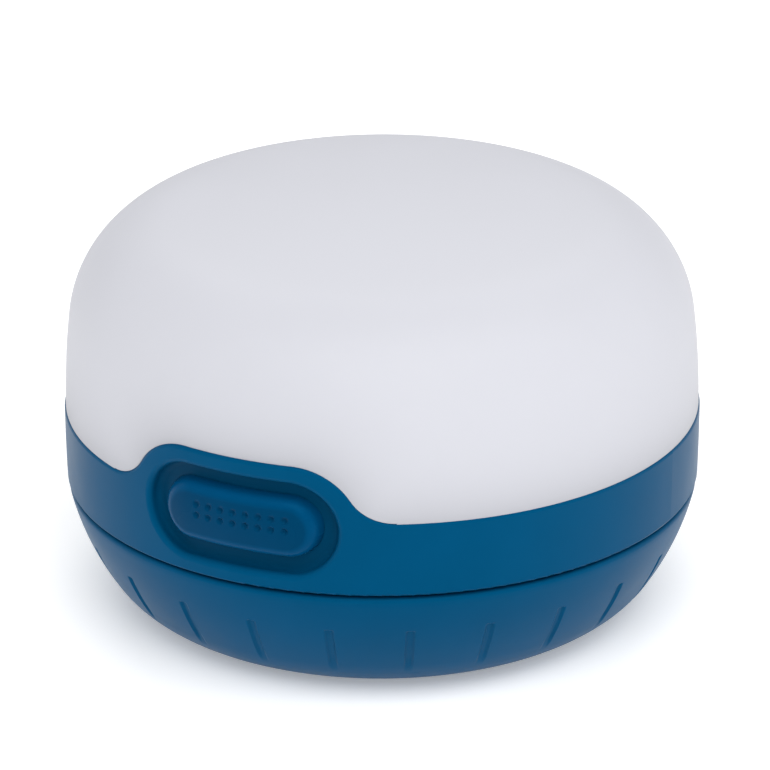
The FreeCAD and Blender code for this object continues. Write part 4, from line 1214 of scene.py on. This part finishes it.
def oval_distance(tree, run):
    """Metres from the middle line of an oval round the button, seen from the front."""
    x, _, z = own_axes(tree)
    past_run = math_node(tree, "SUBTRACT", math_node(tree, "ABSOLUTE", x), run * MM)
    beyond = math_node(tree, "MAXIMUM", past_run, 0.0)
    above = math_node(tree, "SUBTRACT", z, BUTTON_Z * MM)
    return diagonal(tree, beyond, above)


def painted_recess_shade(tree):
    """How deep a place lies in the button's recess, as a share of painted shade that darkens the colour."""
    x, y, _ = own_axes(tree)
    depth = math_node(tree, "SUBTRACT", BODY_RADIUS * MM, diagonal(tree, x, y))
    share = math_node(tree, "MULTIPLY", depth, RECESS_PAINTED_SHADE / (RECESS_DEPTH * MM))
    inside = math_node(tree, "LESS_THAN", oval_distance(tree, TAB_RUN), RECESS_RADIUS * MM)
    front = math_node(tree, "LESS_THAN", y, 0.0)
    here = math_node(tree, "MULTIPLY", inside, front)
    return math_node(tree, "MULTIPLY", between_zero_and(tree, RECESS_PAINTED_SHADE, share), here)


def painted_face_shade(tree):
    """How far a place on the button lies in from its rounded rim, as a share of painted shade that darkens
    the face and leaves the rim looking lit.
    """
    inside = math_node(tree, "SUBTRACT", BUTTON_RADIUS * MM, oval_distance(tree, BUTTON_RUN))
    share = between_zero_and(tree, 1.0, math_node(tree, "DIVIDE", inside, BUTTON_ROUND * MM))
    return math_node(tree, "MULTIPLY", math_node(tree, "MULTIPLY", share, share), FACE_PAINTED_SHADE)


print("duller by", RECESS_PAINTED_SHADE, "in the recess and by", FACE_PAINTED_SHADE, "on the button's face")

# %% Blue finishes
BLUE = (0.0, 0.0655, 0.158)
BUTTON_BLUE = (0.0, 0.064, 0.168)
BLUE_SHINE = (0.05, 0.5, 0.9, 1)
SHELL_SHINE = 0.09
BUTTON_SHINE = 0.1

# the shell's blue is darkened by painted shade down in the button's recess
FINISHES["shell_blue"] = moulded("satin_shell_blue", BLUE, (0.34, 0.42), 0.16, painted_shade=painted_recess_shade,
                                 Specular_IOR_Level=SHELL_SHINE, Specular_Tint=BLUE_SHINE)
# the button's blue is darkened by painted shade over its face, so that its rim looks lit
FINISHES["button_blue"] = moulded("satin_button_blue", BUTTON_BLUE, (0.26, 0.34), 0.12, painted_shade=painted_face_shade,
                                  Specular_IOR_Level=BUTTON_SHINE, Specular_Tint=BLUE_SHINE)
print("finishes so far:", len(FINISHES))

# %% [markdown]
# ## The frosted dome
# The dome is a translucent white plastic with a frosted skin. Where the collar and its tab stand behind
# the wall, it gets less light from inside and looks a little darker, fading over a few millimetres. A
# subsurface shader could give that with a long render, but here the distance to the seam is worked out
# from the piece's own coordinates.

# %% Frosted finish
FROST = (0.587, 0.593, 0.641)
FROST_GLOSS = (0.46, 0.56)
FROST_SHINE = 0.3
FROST_DRIFT = 0.015
FROST_FLOW_SIZE = 14.0
FROST_GRAIN_SIZE = 0.1
FROST_GRAIN_DEPTH = 0.015
FROST_GRAIN_STRENGTH = 0.1
SEAM_DARK = 0.25
SEAM_FADE = 3.2
SEAM_BLEND = 2.5


def distance_to_seam(tree):
    """Metres from the collar's top edge, or from the tab's oval edge at the front, whichever is nearer."""
    _, y, z = own_axes(tree)
    above_collar = math_node(tree, "SUBTRACT", z, COLLAR_TOP * MM)
    from_tab = math_node(tree, "SUBTRACT", oval_distance(tree, TAB_RUN), TAB_RADIUS * MM)
    from_tab = math_node(tree, "ADD", from_tab, math_node(tree, "MAXIMUM", y, 0.0))
    nearer = math_node(tree, "SMOOTH_MIN", above_collar, from_tab, SEAM_BLEND * MM)
    return math_node(tree, "MAXIMUM", nearer, 0.0)


def seam_shade(tree):
    """How much darker a place is for being near the seam."""
    fades = math_node(tree, "MULTIPLY", distance_to_seam(tree), -1 / (SEAM_FADE * MM))
    return math_node(tree, "MULTIPLY", math_node(tree, "EXPONENT", fades), SEAM_DARK)


def frosted_plastic():
    finish, tree, shader = new_finish("frosted_dome", FROST, sum(FROST_GLOSS) / 2,
                                      Specular_IOR_Level=FROST_SHINE)
    flow = noise(tree, FROST_FLOW_SIZE)
    tint = mix_colours(tree, flow, shade_of(FROST, 1 - FROST_DRIFT), shade_of(FROST, 1 + FROST_DRIFT))
    shaded = mix_colours(tree, seam_shade(tree), tint, BLACK)
    tree.links.new(shaded, shader.inputs["Base Color"])
    tree.links.new(spread(tree, flow, *FROST_GLOSS), shader.inputs["Roughness"])
    grain = noise(tree, FROST_GRAIN_SIZE, GRAIN_DETAIL)
    add_bump(tree, shader, grain, FROST_GRAIN_STRENGTH, FROST_GRAIN_DEPTH)
    return finish


FINISHES["frosted_white"] = frosted_plastic()
print("finishes so far:", len(FINISHES))

# %% [markdown]
# ## Metals
# The hooks are drawn steel wire, the screws are zinc-plated and the contacts are nickel-plated strip.
# Drawing and rolling leave fine lines along the metal. An anisotropic shader could stand for them, but
# noise stretched along one axis shows the lines themselves, and the plating varies a little in tone.

# %% Metal finishes
PLATE_SIZE = 2.5
PLATE_DARK = 0.9
PLATE_LIGHT = 1.05
LINE_DETAIL = 4.0
LINE_STRENGTH = 0.15
LINE_DEPTH = 0.02
ALONG_X = (0.15, 1, 1)
ALONG_Y = (1, 0.1, 1)


def plated(name, colour, gloss, grain_mm, stretch=(1, 1, 1)):
    finish, tree, shader = new_finish(name, colour, sum(gloss) / 2, Metallic=1.0)
    lines = noise(tree, grain_mm, LINE_DETAIL, stretch)
    darker, lighter = shade_of(colour, PLATE_DARK), shade_of(colour, PLATE_LIGHT)
    tone = mix_colours(tree, noise(tree, PLATE_SIZE), darker, lighter)
    tree.links.new(tone, shader.inputs["Base Color"])
    tree.links.new(spread(tree, lines, *gloss), shader.inputs["Roughness"])
    add_bump(tree, shader, lines, LINE_STRENGTH, LINE_DEPTH)
    return finish


FINISHES["hook_steel"] = plated("hook_steel", (0.55, 0.55, 0.56), (0.2, 0.36), 0.25, ALONG_X)
FINISHES["screw_steel"] = plated("screw_zinc", (0.6, 0.6, 0.58), (0.25, 0.4), 0.2)
FINISHES["contact_nickel"] = plated("contact_nickel", (0.66, 0.62, 0.56), (0.18, 0.32), 0.3, ALONG_Y)
print("finishes so far:", len(FINISHES))

# %% [markdown]
# ## Boards, lights and cells
# These carry two finishes on one piece: a board has traces under its lacquer, a light has a yellow
# phosphor window in a white case, and a cell has a printed sleeve between bare ends. Two materials on
# chosen faces could do it where an edge parts the two. Here each is a step between two colours at a
# height, a length or a pattern that the piece's own coordinates give, which needs no such edge.

# %% Two-tone finishes of the boards
COPPER_SIZE = 3.5
TRACE_GAP = 0.05
GLOSS_SIZE = 4.0
LACQUER_GRAIN = 0.2
LACQUER_STRENGTH = 0.1
LACQUER_DEPTH = 0.01


def two_tone(name, share_of, one, other, gloss):
    """A finish with two colours; share_of builds the nodes that say where the second one shows."""
    finish, tree, shader = new_finish(name, one, sum(gloss) / 2)
    tone = mix_colours(tree, share_of(tree), one, other)
    tree.links.new(tone, shader.inputs["Base Color"])
    tree.links.new(spread(tree, noise(tree, GLOSS_SIZE), *gloss), shader.inputs["Roughness"])
    add_bump(tree, shader, noise(tree, LACQUER_GRAIN, GRAIN_DETAIL), LACQUER_STRENGTH, LACQUER_DEPTH)
    return finish


def traces(tree):
    """Broad copper areas parted by thin lines."""
    cells = tree.nodes.new("ShaderNodeTexVoronoi")
    cells.feature = "DISTANCE_TO_EDGE"
    cells.distance = "EUCLIDEAN"
    cells.inputs["Scale"].default_value = 1 / (COPPER_SIZE * MM)
    tree.links.new(own_place(tree), cells.inputs["Vector"])
    return math_node(tree, "LESS_THAN", cells.outputs["Distance"], TRACE_GAP)


FINISHES["board_green"] = two_tone("green_board", traces, (0.01, 0.07, 0.03), (0.02, 0.11, 0.05),
                                   (0.25, 0.4))
FINISHES["board_white"] = two_tone("white_board", traces, (0.7, 0.7, 0.68), (0.6, 0.6, 0.58),
                                   (0.3, 0.45))
print("finishes so far:", len(FINISHES))

# %% Two-tone finishes of the lights and the cells
_, emitter_high = box_mm("led_emitters")
_, cell_high = box_mm("cell_front")
LENS_HEIGHT = 0.3
CELL_END = 1.6


def above_lens(tree):
    lens_z = (emitter_high.z - LENS_HEIGHT) * MM + MERGE
    return math_node(tree, "GREATER_THAN", own_axes(tree)[2], lens_z)


def bare_end(tree):
    along = math_node(tree, "ABSOLUTE", own_axes(tree)[0])
    return math_node(tree, "GREATER_THAN", along, (cell_high.x - CELL_END) * MM)


FINISHES["phosphor_yellow"] = two_tone("light_emitter", above_lens, (0.75, 0.75, 0.72), (0.8, 0.6, 0.12),
                                       (0.3, 0.4))
FINISHES["cell_can"] = two_tone("cell_sleeve", bare_end, (0.16, 0.17, 0.18), (0.6, 0.6, 0.58), (0.25, 0.35))
print("finishes in all:", len(FINISHES))

# %% [markdown]
# ## Dressing and seating
# Each modelled piece takes its finish, stands for the solid that it covers, and rides on that solid's
# body, so that it moves with the joints. Keyframes could move it too, but they would fix one motion, and
# a piece that rides follows any pose.

# %% Dress and seat the pieces
MODELLED = (
    (dome, "diffuser_dome", "lantern_body", "frosted_white"),
    (base, "base_cover", "base", "shell_blue"),
    (button, "power_button", "button", "button_blue"),
    (rear_hook, "hang_hook_rear", "rear_hook", "hook_steel"),
    (front_hook, "hang_hook_front", "front_hook", "hook_steel"),
    (saddle, "hook_saddle", "base", "saddle_black"),
    (saddle_screws, "saddle_screws", "base", "screw_steel"),
    (tray_screws, "tray_screws", "lantern_body", "screw_steel"),
    (board_screws, "board_screws", "lantern_body", "screw_steel"),
    (foam, "cell_pad", "base", "pad_foam"),
)


def dress(piece, finish):
    if not piece.material_slots:
        piece.data.materials.append(finish)
    for holder in piece.material_slots:
        holder.material = finish


for piece, node, body, slot in MODELLED:
    dress(piece, FINISHES[slot])
    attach(piece, body)
    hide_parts(node)
print("modelled pieces:", len(MODELLED))

# %% [markdown]
# The collar and the pieces inside are shown as their solids, which already have the edges that the real
# ones show. They get the same finishes through their material slots and stay where they are.

# %% Dress the solids
NODE_FINISHES = {
    "upper_housing": "shell_blue", "button_seal": "seal_rubber", "base_seal": "seal_rubber",
    "switch_plunger": "switch_black", "switch_case": "switch_black", "switch_header": "switch_black",
    "switch_board": "board_green", "led_board": "board_white", "led_emitters": "phosphor_yellow",
    "driver_components": "switch_black", "reflector_deck": "reflector_white", "battery_tray": "tray_black",
    "cell_front": "cell_can", "cell_middle": "cell_can", "cell_rear": "cell_can",
    "contact_positive": "contact_nickel", "contact_negative": "contact_nickel",
    "contact_link_left": "contact_nickel", "contact_link_right": "contact_nickel",
}
for name, finish in NODE_FINISHES.items():
    dress(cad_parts[name], FINISHES[finish])
print("dressed solids:", len(NODE_FINISHES))

# %% [markdown]
# ## The stage
# The lantern stands on a white table that glows a little, so the shadow under it stays pale. A sweep of
# paper lit from above would do too, but its shadow would be darker than a product picture's. The table
# lies a hair under the foot, because two faces in one plane flicker. It is only a stage, not part of the
# object.

# %% Lay the floor
FLOOR_SIZE = 6.0
FLOOR_WHITE = (0.95, 0.95, 0.95)
FLOOR_SHINE = 0.1
FLOOR_GLOW = 0.28
FLOOR_DROP = 0.05


def lay_floor():
    deselect_all()
    bpy.ops.mesh.primitive_plane_add(size=FLOOR_SIZE, location=(0, 0, -FLOOR_DROP * MM))
    floor = bpy.context.object
    floor.name = "floor"
    finish = moulded("floor_white", FLOOR_WHITE, (0.8, 0.9), 0.4, grain_depth=0.01, drift=0.002,
                     Specular_IOR_Level=FLOOR_SHINE, Emission_Color=(1, 1, 1, 1),
                     Emission_Strength=FLOOR_GLOW)
    dress(floor, finish)


lay_floor()
print("floor laid")

# %% [markdown]
# ## The camera
# The picture is taken from the front right, about 23 degrees above the table, with a long lens from over
# half a metre. A short lens close by would stretch the near side, and a long one keeps the ellipses calm,
# which is how small products are usually photographed.

# %% Place the camera
CAMERA_PLACE = Vector((0.26819, -0.53673, 0.27644))
CAMERA_LOOK = Vector((-0.41161, 0.82483, -0.38758))
CAMERA_ROLL = -0.005
CAMERA_LENS = 274.33
CAMERA_NEAR = 0.01
SENSOR = 36.0
UP = Vector((0, 0, 1))


def camera_axes():
    look = CAMERA_LOOK.normalized()
    right = look.cross(UP).normalized()
    up = right.cross(look)
    turn = Matrix.Rotation(CAMERA_ROLL, 3, -look)
    return turn @ right, turn @ up, look


def place_camera():
    right, up, look = camera_axes()
    lens = bpy.data.cameras.new("camera")
    lens.sensor_width = SENSOR
    lens.lens = CAMERA_LENS
    lens.clip_start = CAMERA_NEAR
    camera = bpy.data.objects.new("camera", lens)
    bpy.context.scene.collection.objects.link(camera)
    placed = Matrix((right, up, -look)).transposed().to_4x4()
    placed.translation = CAMERA_PLACE
    camera.matrix_world = placed
    bpy.context.scene.camera = camera


place_camera()
print("camera at", round(CAMERA_PLACE.length, 2), "m")

# %% [markdown]
# ## The light
# The room is a dim, even white. A large softbox hangs overhead and leans to the front, and another leans
# to the back. One on each side draws the pale bands down the collar's flanks. A small one in front
# brightens the face, and a small key light at the upper right gives the rims their edge. Bare lamps
# would make hard spots on the satin plastic.

# %% Light the room
ROOM_LIGHT = 0.36


def light_room():
    """An even room, seen as white by the camera and as a dim fill by the lantern."""
    world = bpy.data.worlds.new("studio")
    bpy.context.scene.world = world
    world.use_nodes = True
    tree = world.node_tree
    room = tree.nodes["Background"]
    room.inputs["Color"].default_value = (1, 1, 1, 1)
    seen = tree.nodes.new("ShaderNodeLightPath").outputs["Is Camera Ray"]
    tree.links.new(math_node(tree, "MAXIMUM", seen, ROOM_LIGHT), room.inputs["Strength"])


light_room()
bpy.context.scene.view_settings.view_transform = "Standard"
print("room light", ROOM_LIGHT)

# %% Hang the softboxes
# Each has its direction as shares of up, towards the camera and right, then its distance, its width and
# height in metres, and its power in watts.
SOFTBOXES = {
    "top_softbox": ((1.0, 0.7, 0.0), 1.3, (1.2, 0.9), 10.6),
    "back_softbox": ((1.0, -0.9, 0.0), 1.3, (1.2, 0.9), 5.2),
    "front_softbox": ((0.55, 1.0, 0.15), 1.4, (0.5, 0.4), 1.6),
    "left_softbox": ((0.25, 0.0, -1.0), 1.3, (1.0, 0.9), 2.6),
    "right_softbox": ((0.3, 0.0, 1.0), 1.3, (1.0, 0.9), 2.8),
    "key_softbox": ((1.1, 0.35, 0.7), 1.2, (0.5, 0.5), 1.6),
}


def softbox(name, towards, distance, size, power):
    """An area light at a distance from the lantern's middle, facing it, out of the camera's sight."""
    light = bpy.data.lights.new(name, "AREA")
    light.shape = "RECTANGLE"
    light.size, light.size_y = size
    light.energy = power
    lamp = bpy.data.objects.new(name, light)
    bpy.context.scene.collection.objects.link(lamp)
    lamp.location = UP * (TOP_Z * MM / 2) + towards * distance
    lamp.rotation_euler = towards.to_track_quat("Z", "Y").to_euler()
    lamp.visible_camera = False


right, _, look = camera_axes()
near = -Vector((look.x, look.y, 0)).normalized()
for name, ((rise, nearness, side), distance, size, power) in SOFTBOXES.items():
    direction = UP * rise + near * nearness + right * side
    softbox(name, direction.normalized(), distance, size, power)
print("softboxes:", len(bpy.data.lights))
